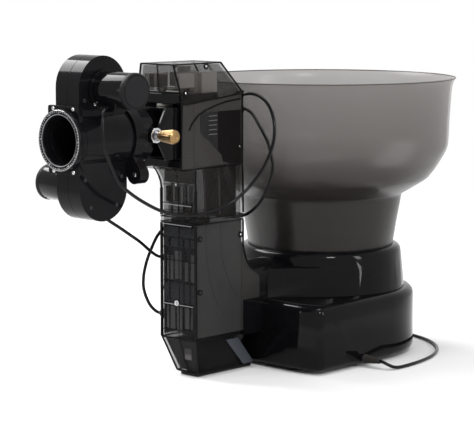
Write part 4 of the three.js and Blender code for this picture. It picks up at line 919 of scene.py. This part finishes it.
# Bowl
bowl = {
    "wall": 2.2,
    # radius, height
    "rim": [(137.9, 284.0), (138.75, 284.0), (138.88, 284.5), (138.7, 284.88), (137.9, 284.88), (137.9, 284.0)],
    "outer": [
        (75.7, 107.3), (75.7, 112.4), (76.6, 119), (79.2, 136), (82.6, 155), (83.6, 161.5), (84.3, 164.6),
        (86.6, 166.4), (92.0, 169.6), (101.6, 175.4), (107.4, 179.0), (112.0, 182.6), (118.2, 190.6), (121.6, 195.8),
        (124.8, 201.2), (128.2, 207.0), (130.4, 211.4), (131.7, 216.4), (132.3, 226), (132.7, 240), (133.6, 256),
        (134.4, 268), (135.2, 275.4), (136.2, 279.6), (137.6, 282.6), (138.7, 284.2), (138.9, 284.9),
    ],
}


def makeBowl():
    outer = bowl["outer"]
    inner = []
    for i, (r, h) in enumerate(outer):
        r0, h0 = outer[max(i - 1, 0)]
        r1, h1 = outer[min(i + 1, len(outer) - 1)]
        length = math.hypot(r1 - r0, h1 - h0)
        end = i in (0, len(outer) - 1)
        across, rise = (1, 0) if end else ((h1 - h0) / length, (r0 - r1) / length)
        inner.append((r - bowl["wall"] * across, h - bowl["wall"] * rise))
    profile = outer + inner[::-1] + [outer[0]]
    piece = bevelled(lathe("ballBowl", profile, "z", (0, 0, 0), "frost", 128, roundAngle), 0.5, 3, 50)
    rideAs(piece, "stand")
    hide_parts("ball_bowl")
    rim = lathe("bowlRimLine", bowl["rim"], "z", (0, 0, 0), "rimLine", 128)
    rideAs(rim, "stand")


# Screws
screwShape = {
    "steps": 24,
    # shares of the radius and of the rise
    "dome": [(1.0, 0.0), (1.0, 0.35), (0.9, 0.75), (0.62, 1.0)],
    "armShare": 0.46,
    "halfShare": 0.12,
    "deepShare": 0.35,
}


def screw(place, way, radius, rise, look):
    # a pan head with a cross recess, facing the given way
    bm = bmesh.new()
    steps = screwShape["steps"]
    turns = [2 * math.pi * k / steps for k in range(steps)]
    rings = []
    for share, height in screwShape["dome"]:
        reach, lift = radius * share, rise * height
        rings.append([bm.verts.new((reach * math.cos(turn), reach * math.sin(turn), lift)) for turn in turns])
    for a, b in zip(rings, rings[1:]):
        bridge(bm, a, b)
    arm, half = radius * screwShape["armShare"], radius * screwShape["halfShare"]
    cross = [
        (half, half), (half, arm), (-half, arm), (-half, half), (-arm, half), (-arm, -half),
        (-half, -half), (-half, -arm), (half, -arm), (half, -half), (arm, -half), (arm, half),
    ]
    top = [bm.verts.new((u, v, rise)) for u, v in cross]
    low = [bm.verts.new((u, v, rise * screwShape["deepShare"])) for u, v in cross]
    bridge(bm, top, low)
    bm.faces.new(low)
    edges = [bm.edges.get(pair) for loop in (rings[-1], top) for pair in zip(loop, loop[1:] + loop[:1])]
    bmesh.ops.triangle_fill(bm, edges=edges, use_beauty=True)
    bm.faces.new(rings[0])
    turn = Vector((0, 0, 1)).rotation_difference(Vector(way)).to_matrix().to_4x4()
    for vert in bm.verts:
        vert.co = turn @ (vert.co / 1000) + at(*place)
    return newPiece("screw", bm, look)


def screwSet(name, body, spots, way, radius, rise, look="steel"):
    rideAs(merged(name, [screw(spot, way, radius, rise, look) for spot in spots]), body)


# Column: ribs, seams, dark edges, screws and bosses
column = {
    "half": 23.9,
    "front": -209.0,
    "back": -142.0,
    "wall": 2.2,
    # small screws on the left side, in mm, with their radius and rise
    "darkScrews": [(23.9, -203, 138), (23.9, -203, 86), (26.2, -206.8, 209.5)],
    "darkScrew": (1.5, 0.7),
    "paleScrews": [(23.9, -146.4, 137), (21.4, -191.6, 303.4), (28.7, -226.6, 279.7), (24.6, -148.7, 224.2)],
    "paleScrew": (1.2, 0.6),
    # radius, height above the wall
    "boss": [(1.7, -0.6), (3.0, -0.6), (3.0, 0.35), (2.5, 0.5), (1.7, 0.3), (1.7, -0.6)],
    "edgeWide": 1.3,
    "edgeInset": 0.45,
    "cornerWide": 2.1,
    # lines along the column's edges, one side: where clear walls meet they show dark, partly the doubled plastic and
    # partly painted dark internal reflection
    "edges": [
        [(23.9, -209, 151), (23.9, -209, 38.4), (14.9, -197.2, 4.4)],
        [
            (23.9, -142, 151), (23.9, -142, 127), (23.9, -140.4, 120), (23.9, -137.6, 112.4), (23.9, -134, 106),
            (23.9, -130, 101),
        ],
        [(23.9, -209, 38.4), (23.9, -152, 38.4)],
        [(14.9, -197.2, 4.4), (14.9, -120, 4.4)],
        [
            (23.9, -209, 158.5), (23.9, -209, 185), (24.4, -209.5, 191.3), (25.7, -210.7, 196.6),
            (27.5, -212.3, 201.4), (29.6, -214.3, 205.6),
        ],
        [
            (30, -234, 206.9), (30, -234, 277), (22.3, -236.8, 306.4), (19.1, -168.6, 306.4), (25, -144.4, 277),
            (25, -144.4, 206.6),
        ],
        [(25, -144.2, 206), (23.9, -142.2, 185), (23.9, -142, 158.5)],
        [(30, -234, 206.9), (25, -144.4, 206.9)],
        [(29.2, -228, 268.6), (25.2, -148, 275.6)],
    ],
    # lines across the front, from one side to the other
    "bars": [(23.9, -209, 38.4), (14.9, -197.2, 4.4), (22.3, -236.8, 306.4), (29, -234.2, 279.8), (19, -168.6, 306.4)],
    # lines down the middle of the front, where the halves meet
    "middle": [((-237.1, 306.4), (-234.4, 280)), ((-209.1, 184), (-209.1, 158)), ((-209, 38), (-197, 4.4))],
    "middleInset": 0.3,
    "middleWide": 0.7,
    # heights of the lines round the joint between the shells
    "seams": [152.0, 157.3],
    "seamReach": 0.6,
    "seamWide": 1.0,
    # ball guides on the side walls, in (Y, Z)
    "guides": [
        [
            (-194, 150.6), (-193.3, 134.4), (-192.2, 116.8), (-189.5, 101.5), (-184.2, 84.5), (-176.4, 68.4),
            (-167.4, 58.3),
        ],
        [(-174.1, 150.6), (-173, 132.3), (-171.3, 117), (-166.3, 101.3), (-156.5, 83.6), (-146, 71)],
        [(-197.2, 205), (-195.2, 186.7), (-194.6, 158.5)],
        [(-176.1, 205), (-175.5, 185), (-174.2, 158.5)],
    ],
    "guideWide": 1.0,
    # ribs behind the front wall
    "ribThick": 1.0,
    "ribSink": 1.6,  # into the wall
    # depth behind the wall, heights
    "shelves": [(6.5, (46, 71, 94.3, 115.2, 127.5, 137.5)), (8, (163.5, 170.6, 188.5))],
    "uprights": [-13.4, 6.2, 14.5],
    # depth behind the wall, height from, height to
    "uprightRuns": [(2.6, 46, 137), (4, 158, 188)],
    # low corner, high corner
    "frontPlates": [((-22.5, -231, 281), (-10.3, -230, 296.6)), ((-6.2, -231, 281), (7.4, -230, 296.6))],
    "hoodBlocks": [((15.5, -227, 283.6), (20.5, -206.5, 297.4)), ((11, -193.7, 274), (17.6, -172.5, 298))],
    "chinMark": ((3, -203.6, 18), (12, -203, 29)),
    # painted highlights: thin pale lines where light catches the inner shelf edges behind the front, and one on the
    # hood
    "edgeHighlightLines": [
        ((-21, -209.25, 71.6), (20, -208.9, 72.2)),
        ((-22, -209.25, 149.8), (18, -208.9, 150.4)),
        ((-21, -209.25, 169.2), (18, -208.9, 169.8)),
        ((10.7, -234.9, 281.2), (27.3, -234.2, 282.0)),
    ],
    # plates behind the front wall, by finish: X from, X to, Z from, Z to
    "frontParts": {
        "dusk": [(-21.3, 21.3, 127, 147), (-21.3, 21.3, 73.8, 92)],
        "guide": [(-21.3, 21.3, 191, 204)],
        "haze": [(-19, -11, 172, 187), (-7.5, 0, 172.5, 187), (4, 16, 160, 168)],
        "mid": [
            (-18, -10.5, 95.5, 119), (-7, 1, 97, 124), (6, 10, 95.5, 114), (14, 19, 95.5, 122),
            (-18.5, -8, 47, 69.5), (-4.5, 2, 47, 70), (5.5, 17, 49, 69.5),
        ],
    },
    "frontPartGap": 0.3,
    "frontPartThick": 1.0,
}
sides = ((1, "Left"), (-1, "Right"))


def ribStrip(name, points, x0, x1, thick, look):
    # a thin upright strip that follows points in (Y, Z)
    outer, inner = [], []
    for i, (u, v) in enumerate(points):
        u0, v0 = points[max(i - 1, 0)]
        u1, v1 = points[min(i + 1, len(points) - 1)]
        length = math.hypot(u1 - u0, v1 - v0)
        nu, nv = -(v1 - v0) / length * thick / 2, (u1 - u0) / length * thick / 2
        outer.append((u + nu, v + nv))
        inner.append((u - nu, v - nv))
    return prism(name, outer + inner[::-1], "x", x0, x1, look)


def strut(name, a, b, wide, look):
    # a straight square bar from a to b
    a, b = Vector(a), Vector(b)
    along = (b - a).normalized()
    side = along.cross(Vector((0, 0, 1)) if abs(along.z) < 0.9 else Vector((0, 1, 0))).normalized() * wide / 2
    rise = along.cross(side).normalized() * wide / 2
    square = [side * u + rise * v for u, v in ((-1, -1), (1, -1), (1, 1), (-1, 1))]
    return solid(name, [a + corner for corner in square], [b + corner for corner in square], look)


def slab(name, corners, thick, look):
    # a flat plate through four or more corners, thickened to one side
    spots = [Vector(p) for p in corners]
    lift = (spots[1] - spots[0]).cross(spots[2] - spots[0]).normalized() * thick
    return solid(name, spots, [p + lift for p in spots], look)


def makeEdgeLines():
    inset, wide = column["edgeInset"], column["edgeWide"]
    middle = (column["front"] + column["back"]) / 2

    def drawnIn(x, y, z):
        return (x - math.copysign(inset, x), y + (inset if y < middle else -inset), z)

    bars = []
    # dark bars inside the clear edges, bolder at the front corners: painted dark internal reflection, partly the
    # doubled plastic
    for line in column["edges"]:
        for a, b in zip(line, line[1:]):
            for side in (-1, 1):
                ends = [drawnIn(side * x, y, z) for x, y, z in (a, b)]
                bold = a[1] == b[1] == column["front"] and a[0] == b[0]
                bars.append(strut("edge", *ends, column["cornerWide"] if bold else wide, "line"))
    for x, y, z in column["bars"]:
        bars.append(strut("edge", drawnIn(-x, y, z), drawnIn(x, y, z), wide, "line"))
    shift = column["middleInset"]
    for line in column["middle"]:
        ends = [(shift, y + shift, z) for y, z in line]
        bars.append(strut("edge", *ends, column["middleWide"], "line"))
    reach = column["seamReach"]
    x, y0, y1 = column["half"] + reach, column["front"] - reach, column["back"]
    for z in column["seams"]:
        corners = [drawnIn(*p) for p in ((-x, y0, z), (x, y0, z), (x, y1, z), (-x, y1, z))]
        for a, b in zip(corners, corners[1:] + corners[:1]):
            bars.append(strut("seam", a, b, column["seamWide"], "line"))
    rideAs(merged("columnEdges", bars), "stand")


def makeColumnRibs():
    inside = column["half"] - column["wall"]
    face = column["front"] + column["wall"]  # the front wall's inner face
    guides = []
    for side in (-1, 1):
        a, b = sorted((side * (inside + column["wall"] - 1), side * inside))
        guides += [ribStrip("guide", line, a, b, column["guideWide"], "guide") for line in column["guides"]]
    rideAs(merged("ductGuides", guides), "stand")
    half, start = column["ribThick"] / 2, face - column["ribSink"]
    ribs = []
    for deep, heights in column["shelves"]:
        for z in heights:
            ribs.append(block("shelf", (-inside, start, z - half), (inside, face + deep, z + half), "smoke"))
    for x in column["uprights"]:
        for deep, low, high in column["uprightRuns"]:
            ribs.append(block("upright", (x - half, start, low), (x + half, face + deep, high), "smoke"))
    ribs += [block("plate", *corners, "smoke") for corners in column["frontPlates"]]
    rideAs(merged("columnRibs", ribs), "stand")
    near = face + column["frontPartGap"]
    far = near + column["frontPartThick"]
    for finish, places in column["frontParts"].items():
        plates = [block("frontPart", (x0, near, z0), (x1, far, z1), finish) for x0, x1, z0, z1 in places]
        rideAs(merged("frontParts" + finish.capitalize(), plates), "stand")
    rideAs(block("chinMark", *column["chinMark"], "haze"), "stand")
    pale = [block("paleLine", *corners, "mark") for corners in column["edgeHighlightLines"]]
    rideAs(merged("columnEdgeHighlights", pale), "stand")


# Inner walls that darken the clear shells beside the ball way and under the hood, with painted dark reflection on the
# hood's sides and painted shade in the chin, as outlines in (Y, Z)
liners = {
    "side": 22.2,
    "thick": 0.5,
    "column": [(-206.5, 41), (-144.5, 41), (-144.5, 151), (-206.5, 151)],
    "rear": [(-144, 41), (-118, 41), (-118, 92), (-134, 104), (-144, 130)],
    # the hood's half width at two places along Y
    "hoodFront": (-234, 30),
    "hoodRear": (-144, 25),
    "hood": [(-232, 208), (-146, 208), (-146, 275.2), (-230, 268.4)],
    "hoodDepth": 1.5,
    "hoodThick": 0.35,
    # cheek and cheekShade: near-black and dark satin plates inside the hood's sides, a painted dark reflection over
    # the deflector
    "cheek": [
        (-181, 260.2), (-147, 259.9), (-146.6, 208), (-160.5, 208), (-169.3, 210), (-173, 211), (-175, 217.4),
        (-181, 222.4),
    ],
    "cheekShade": [
        (-206.4, 260.6), (-181, 260.2), (-181, 222.4), (-188, 227.4), (-192.4, 232), (-202.3, 237.4), (-205.8, 241.6),
    ],
    "cheekDepth": 0.7,
    "cheekThick": 0.3,
    "wire": [
        (-147.3, 270.5), (-170.4, 268.7), (-184.2, 265.8), (-199.2, 262), (-209.2, 257.8), (-218.1, 250.3),
        (-222.2, 244.3),
    ],
    "wireDepth": 1.0,
    "wireWide": 1.6,
    "chinPanel": [(-21.2, -206, 37.5), (21.2, -206, 37.5), (12.4, -194.4, 5.6), (-12.4, -194.4, 5.6)],
    "chinPanelThick": 0.4,
    # the chin's core: a near-black block inside the chin, painted shade on its downward-sloping sides
    "chinCore": [(-205.5, 37.5), (-152, 37.5), (-122, 6.5), (-194.5, 6.5)],
    "chinCoreHalf": 12.6,
}


def makeLiners():
    (frontY, frontHalf), (rearY, rearHalf) = liners["hoodFront"], liners["hoodRear"]

    def under(side, y, z, deep):
        # a point so far inside the hood's sloping side wall
        half = frontHalf + (rearHalf - frontHalf) * (y - frontY) / (rearY - frontY)
        return (side * (half - deep), y, z)

    walls, hoods, cheeks, rears, cheekShades = [], [], [], [], []
    for side in (-1, 1):
        x, thick = side * liners["side"], side * liners["thick"]
        walls.append(slab("liner", [(x, y, z) for y, z in liners["column"]], thick, "haze"))
        rears.append(slab("liner", [(x, y, z) for y, z in liners["rear"]], thick, "guide"))
        hood = [under(side, y, z, liners["hoodDepth"]) for y, z in liners["hood"]]
        hoods.append(slab("liner", hood, liners["hoodThick"], "paleHaze"))
        # the cheek plates are painted dark reflection; the wire channel is a rib
        for outline, plates, look in ((liners["cheek"], cheeks, "line"), (liners["cheekShade"], cheekShades, "satin")):
            corners = [under(side, y, z, liners["cheekDepth"]) for y, z in outline]
            plates.append(slab("cheek", corners, liners["cheekThick"], look))
        wire = [under(side, y, z, liners["wireDepth"]) for y, z in liners["wire"]]
        cheeks += [strut("wireChannel", a, b, liners["wireWide"], "line") for a, b in zip(wire, wire[1:])]
    rideAs(merged("clearLiners", walls), "stand")
    rideAs(merged("hoodLiners", hoods), "stand")
    rideAs(merged("linerShades", rears), "stand")
    rideAs(merged("deflectorDarkReflectionAndWire", cheeks), "stand")
    rideAs(merged("deflectorShades", cheekShades), "stand")
    panel = slab("chinPanel", liners["chinPanel"], liners["chinPanelThick"], "guide")
    rideAs(panel, "stand")
    # near-black core: painted shade seen through the chin's sides
    half = liners["chinCoreHalf"]
    rideAs(prism("chinCore", liners["chinCore"], "x", -half, half, "line"), "stand")


# The screw low on the column's front in its pale ring, and a small one above the joint, as (X, Z)
frontScrew = {
    "place": (-2, 73.5),
    "proud": 0.35,
    "upperPlace": (-2.5, 189.4),
    "upperProud": 0.05,
    "radius": 1.1,
    "rise": 0.6,
    # radius, distance behind the front
    "seat": [(0, -0.4), (2.9, -0.4), (2.9, 0.3), (0, 0.3)],
    "ring": [(1.8, -0.75), (2.5, -0.75), (2.5, -0.3), (1.8, -0.3), (1.8, -0.75)],
}


def makeColumnDetail():
    makeColumnRibs()
    makeEdgeLines()
    makeLiners()
    for side, word in sides:
        blocks = []
        for (xa, ya, za), (xb, yb, zb) in column["hoodBlocks"]:
            x0, x1 = sorted((side * xa, side * xb))
            blocks.append(bevelled(block("hoodBlock", (x0, ya, za), (x1, yb, zb), "inner"), 0.8))
        rideAs(merged("hoodBlocks" + word, blocks), "stand")

        dark = [(side * x, y, z) for x, y, z in column["darkScrews"]]
        pale = [(side * x, y, z) for x, y, z in column["paleScrews"]]
        screwSet("darkScrews" + word, "stand", dark, (side, 0, 0), *column["darkScrew"], "satin")
        screwSet("paleScrews" + word, "stand", pale, (side, 0, 0), *column["paleScrew"])
        boss = [(radius, side * rise) for radius, rise in column["boss"]]
        bosses = [lathe("boss", boss, "x", spot, "line", 28) for spot in dark + pale]
        rideAs(merged("columnBosses" + word, bosses), "stand")
    s = frontScrew
    (x, z), (upperX, upperZ), y = s["place"], s["upperPlace"], column["front"]
    rideAs(lathe("frontScrewSeat", s["seat"], "y", (x, y, z), "line", 32), "stand")
    rideAs(lathe("frontScrewRing", s["ring"], "y", (x, y, z), "white", 32), "stand")
    spots = [(x, y - s["proud"], z), (upperX, y - s["upperProud"], upperZ)]
    screwSet("frontScrew", "stand", spots, (0, -1, 0), s["radius"], s["rise"])
    makeBraces()
    makeHoodVents()


chinBrace = {
    "outline": [(-168.6, 35), (-151.4, 35), (-119, 4.6), (-134.5, 4.6)],
    "top": (35, 23.9),  # height and half width of the chin
    "bottom": (3, 14.6),
    "gap": 0.35,
    "thick": 0.9,
    "edge": 0.4,
}


def makeBraces():
    # paler bands along the slanting rear edge of the chin
    (topZ, topHalf), (lowZ, lowHalf) = chinBrace["top"], chinBrace["bottom"]
    for side, word in sides:
        low, high = [], []
        for y, z in chinBrace["outline"]:
            half = topHalf - (topHalf - lowHalf) * (topZ - z) / (topZ - lowZ) + chinBrace["gap"]
            low.append((side * half, y, z))
            high.append((side * (half + chinBrace["thick"]), y, z))
        brace = bevelled(solid("chinBrace" + word, low, high, "pale"), chinBrace["edge"])
        rideAs(brace, "stand")


hoodVents = {
    "count": 5,
    "lowest": 238.6,
    "pitch": 4.4,
    "front": (27.4, -194),  # X and Y of each slat's ends
    "rear": (26.75, -182.5),
    "wide": 0.55,
}


def makeHoodVents():
    # comb of short vent slats inside each side wall of the hood
    slats = []
    for side in (1, -1):
        for k in range(hoodVents["count"]):
            z = hoodVents["lowest"] + k * hoodVents["pitch"]
            ends = [(side * x, y, z) for x, y in (hoodVents["front"], hoodVents["rear"])]
            slats.append(strut("slat", *ends, hoodVents["wide"], "mid"))
    rideAs(merged("hoodVents", slats), "stand")


# Head: muzzle ring with its dial, screws and motor ends
head = {
    "axis": 242.0,
    "front": -360.2,
    "wheelY": -320.2,
    "wheelRise": 45,
    "plateFront": -354.2,
    "plateScrews": (13.4, 28.4),  # from the axis, in X and Z
    "shellSide": 16,
    # from each wheel's axis in Y, from the barrel's axis in Z
    "shellScrews": [(-22.5, 36), (22.5, 36)],
    "coverScrews": [(-16, 62), (16, 62)],  # where no motor stands
    "screw": (1.9, 0.8),
}
# profiles as radius and distance behind the front
muzzle = {
    "ring": [
        (22.3, 5.7), (28.5, 5.7), (28.5, 1.6), (28.2, 0.7), (27.7, 0.15), (27.3, 0), (27.05, 0.3), (24.0, 0.3),
        (23.3, 0.6), (22.7, 1.3), (22.3, 2.6), (22.3, 5.7),
    ],
    "rimOuter": [(27.1, 0.28), (27.2, 0.02), (27.5, 0.02), (27.65, 0.2), (27.4, 0.5), (27.1, 0.28)],
    "rimInner": [(23.9, 0.4), (23.9, 0.24), (23.6, 0.36), (23.3, 0.54), (23.4, 0.8), (23.9, 0.4)],
    "face": 0.3,
    "ticks": 60,
    "numbers": 12,
    "tickStart": 25.6,
    "tickEnd": 26.8,
    "tickHalf": 0.2,
    "tickBack": 0.05,
    "tickProud": 0.06,
    "numberRadius": 25.6,
    "numberDepth": 0.28,
    "numberSize": 2.6,
    "numberThick": 0.05,
}
motorEnd = {
    "face": 61.35,
    # radius and distance behind the face
    "disc": [(0, 0), (13.8, 0), (15.6, 0.25), (16.6, 0.9), (16.95, 1.8), (16.95, 5.2), (16.75, 5.6), (0, 5.6)],
    "screwSide": 19.4,
    "screws": [(13, 12.5), (-13, -12.5)],  # from the motor's axis, in Y and Z
    "screw": (1.5, 0.7),
}


def makeMuzzle():
    y, z = head["front"], head["axis"]

    def turned(name, profile, look):
        return lathe(name, [(radius, y + deep) for radius, deep in profile], "y", (0, 0, z), look, 96)

    ring = turned("muzzleRing", muzzle["ring"], "head")
    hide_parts("muzzle_ring")
    rideAs(bevelled(ring, 0.15, 2, 30), "head")
    rideAs(turned("muzzleRimOuter", muzzle["rimOuter"], "steel"), "head")
    rideAs(turned("muzzleRimInner", muzzle["rimInner"], "mark"), "head")
    count, numbers = muzzle["ticks"], muzzle["numbers"]
    ticks = [radialTick(2 * math.pi * k / count) for k in range(count) if k % (count // numbers)]
    rideAs(merged("dialTicks", ticks), "head")
    digits = [dialNumber(k, 2 * math.pi * k / numbers) for k in range(numbers)]
    rideAs(merged("dialNumbers", digits), "head")


def radialTick(turn):
    # a short white line on the ring's flat face
    out = Vector((math.cos(turn), 0, math.sin(turn)))
    side = Vector((-math.sin(turn), 0, math.cos(turn))) * muzzle["tickHalf"]
    middle = Vector((0, head["front"] + muzzle["face"], head["axis"]))
    near, far = muzzle["tickStart"], muzzle["tickEnd"]
    corners = [middle + out * r + side * s for r, s in ((near, -1), (far, -1), (far, 1), (near, 1))]
    low = [p + Vector((0, muzzle["tickBack"], 0)) for p in corners]
    high = [p - Vector((0, muzzle["tickProud"], 0)) for p in corners]
    return solid("tick", low, high, "white")


def dialNumber(number, turn):
    words = bpy.data.curves.new("number", "FONT")
    words.body = str(number)
    words.size = muzzle["numberSize"] / 1000
    words.align_x = "CENTER"
    words.align_y = "CENTER"
    words.extrude = muzzle["numberThick"] / 1000
    holder = bpy.data.objects.new("number", words)
    bpy.context.scene.collection.objects.link(holder)
    spin = Matrix.Rotation(math.pi / 2 - turn, 4, "Y") @ Matrix.Rotation(math.pi / 2, 4, "X")
    spot = spun(muzzle["numberRadius"], muzzle["numberDepth"], turn, "y", (0, head["front"], head["axis"]))
    holder.matrix_world = Matrix.Translation(at(*spot)) @ spin
    bpy.context.view_layer.update()
    graph = bpy.context.evaluated_depsgraph_get()
    mesh = bpy.data.meshes.new_from_object(holder.evaluated_get(graph))
    mesh.transform(holder.matrix_world)
    bpy.data.objects.remove(holder, do_unlink=True)
    mesh.materials.clear()
    mesh.materials.append(looks["white"])
    piece = bpy.data.objects.new("number", mesh)
    bpy.context.scene.collection.objects.link(piece)
    return piece


def makeHeadTrim():
    axis, wheelY, x = head["axis"], head["wheelY"], head["shellSide"]
    across, rise = head["plateScrews"]
    corners = [(s * across, head["plateFront"], axis + t * rise) for s in (-1, 1) for t in (-1, 1)]
    screwSet("muzzleScrews", "head", corners, (0, -1, 0), *head["screw"])
    for side, word in sides:
        spots = []
        for way in (1, -1):
            places = head["shellScrews"] + (head["coverScrews"] if side != way else [])
            spots += [(side * x, wheelY + dy, axis + way * dz) for dy, dz in places]
        screwSet("shellScrews" + word, "head", spots, (side, 0, 0), *head["screw"], "satin")
    for way, word in ((1, "Upper"), (-1, "Lower")):
        makeMotorEnd(way, word, wheelY, axis + way * head["wheelRise"])


def makeMotorEnd(way, word, y, z):
    # plain satin end disc with a rounded rim, a little proud of the can
    profile = [(radius, way * (motorEnd["face"] - deep)) for radius, deep in motorEnd["disc"]]
    rideAs(lathe("motorEnd" + word, profile, "x", (0, y, z), "motorEnd", 72), "head")
    spots = [(way * motorEnd["screwSide"], y + dy, z + dz) for dy, dz in motorEnd["screws"]]
    screwSet("motorScrews" + word, "head", spots, (way, 0, 0), *motorEnd["screw"])


# profiles as radius and distance from the robot's middle
thumbScrew = {
    "y": -262.5,
    "cone": [(0, 21.2), (2.95, 21.2), (2.95, 27.0), (4.9, 27.0), (5.1, 27.4), (4.7, 28.4), (3.6, 30.4), (0, 30.6)],
    "grip": [
        (0, 30.2), (3.4, 30.2), (4.2, 31.0), (4.9, 33.0), (5.4, 36.0), (6.0, 41.0), (6.7, 46.6), (6.8, 48.8),
        (6.3, 50.6), (4.9, 51.8), (2.2, 52.1), (1.6, 51.5), (0, 51.5),
    ],
    "flutes": 22,
    "fluteStart": 35,
    "fluteEnd": 50,
    "fluteShare": 0.06,  # of the radius
}


def makeThumbScrew():
    centre = (0, thumbScrew["y"], head["axis"])
    grip = lathe("tiltThumbScrew", thumbScrew["grip"], "x", centre, "brass", 176)
    middle = at(*centre)
    for vert in grip.data.vertices:
        if thumbScrew["fluteStart"] < vert.co.x * 1000 < thumbScrew["fluteEnd"]:
            dy, dz = vert.co.y - middle.y, vert.co.z - middle.z
            wave = 0.5 + 0.5 * math.cos(math.atan2(dz, dy) * thumbScrew["flutes"])
            scale = 1 - thumbScrew["fluteShare"] * wave
            vert.co.y = middle.y + dy * scale
            vert.co.z = middle.z + dz * scale
    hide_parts("tilt_thumb_screw")
    rideAs(grip, "thumb_screw")
    rideAs(lathe("thumbScrewCone", thumbScrew["cone"], "x", centre, "dullSteel", 64), "thumb_screw")


plateScrews = {
    "places": [(70, -80), (78, 0), (45, 66)],  # X and Y, the same on both sides
    "height": 3,
    "screw": (2.6, 0.9),
}


def makePlateScrews():
    # screws that hold the base plate, from below
    spots = [(side * x, y, plateScrews["height"]) for side in (-1, 1) for x, y in plateScrews["places"]]
    screwSet("plateScrews", "stand", spots, (0, 0, -1), *plateScrews["screw"])


makeCamera()
makeStudio()
makeLooks()
say("camera, light and finishes")
makeLeads()
makePowerCord()
say("leads and cord")
makeDressed()
say("solids dressed")
makeBowl()
makeColumnDetail()
say("bowl and column")
makeMuzzle()
makeHeadTrim()
makeThumbScrew()
makePlateScrews()
say("head and base screws")

bpy.context.scene.view_settings.view_transform = "Standard"
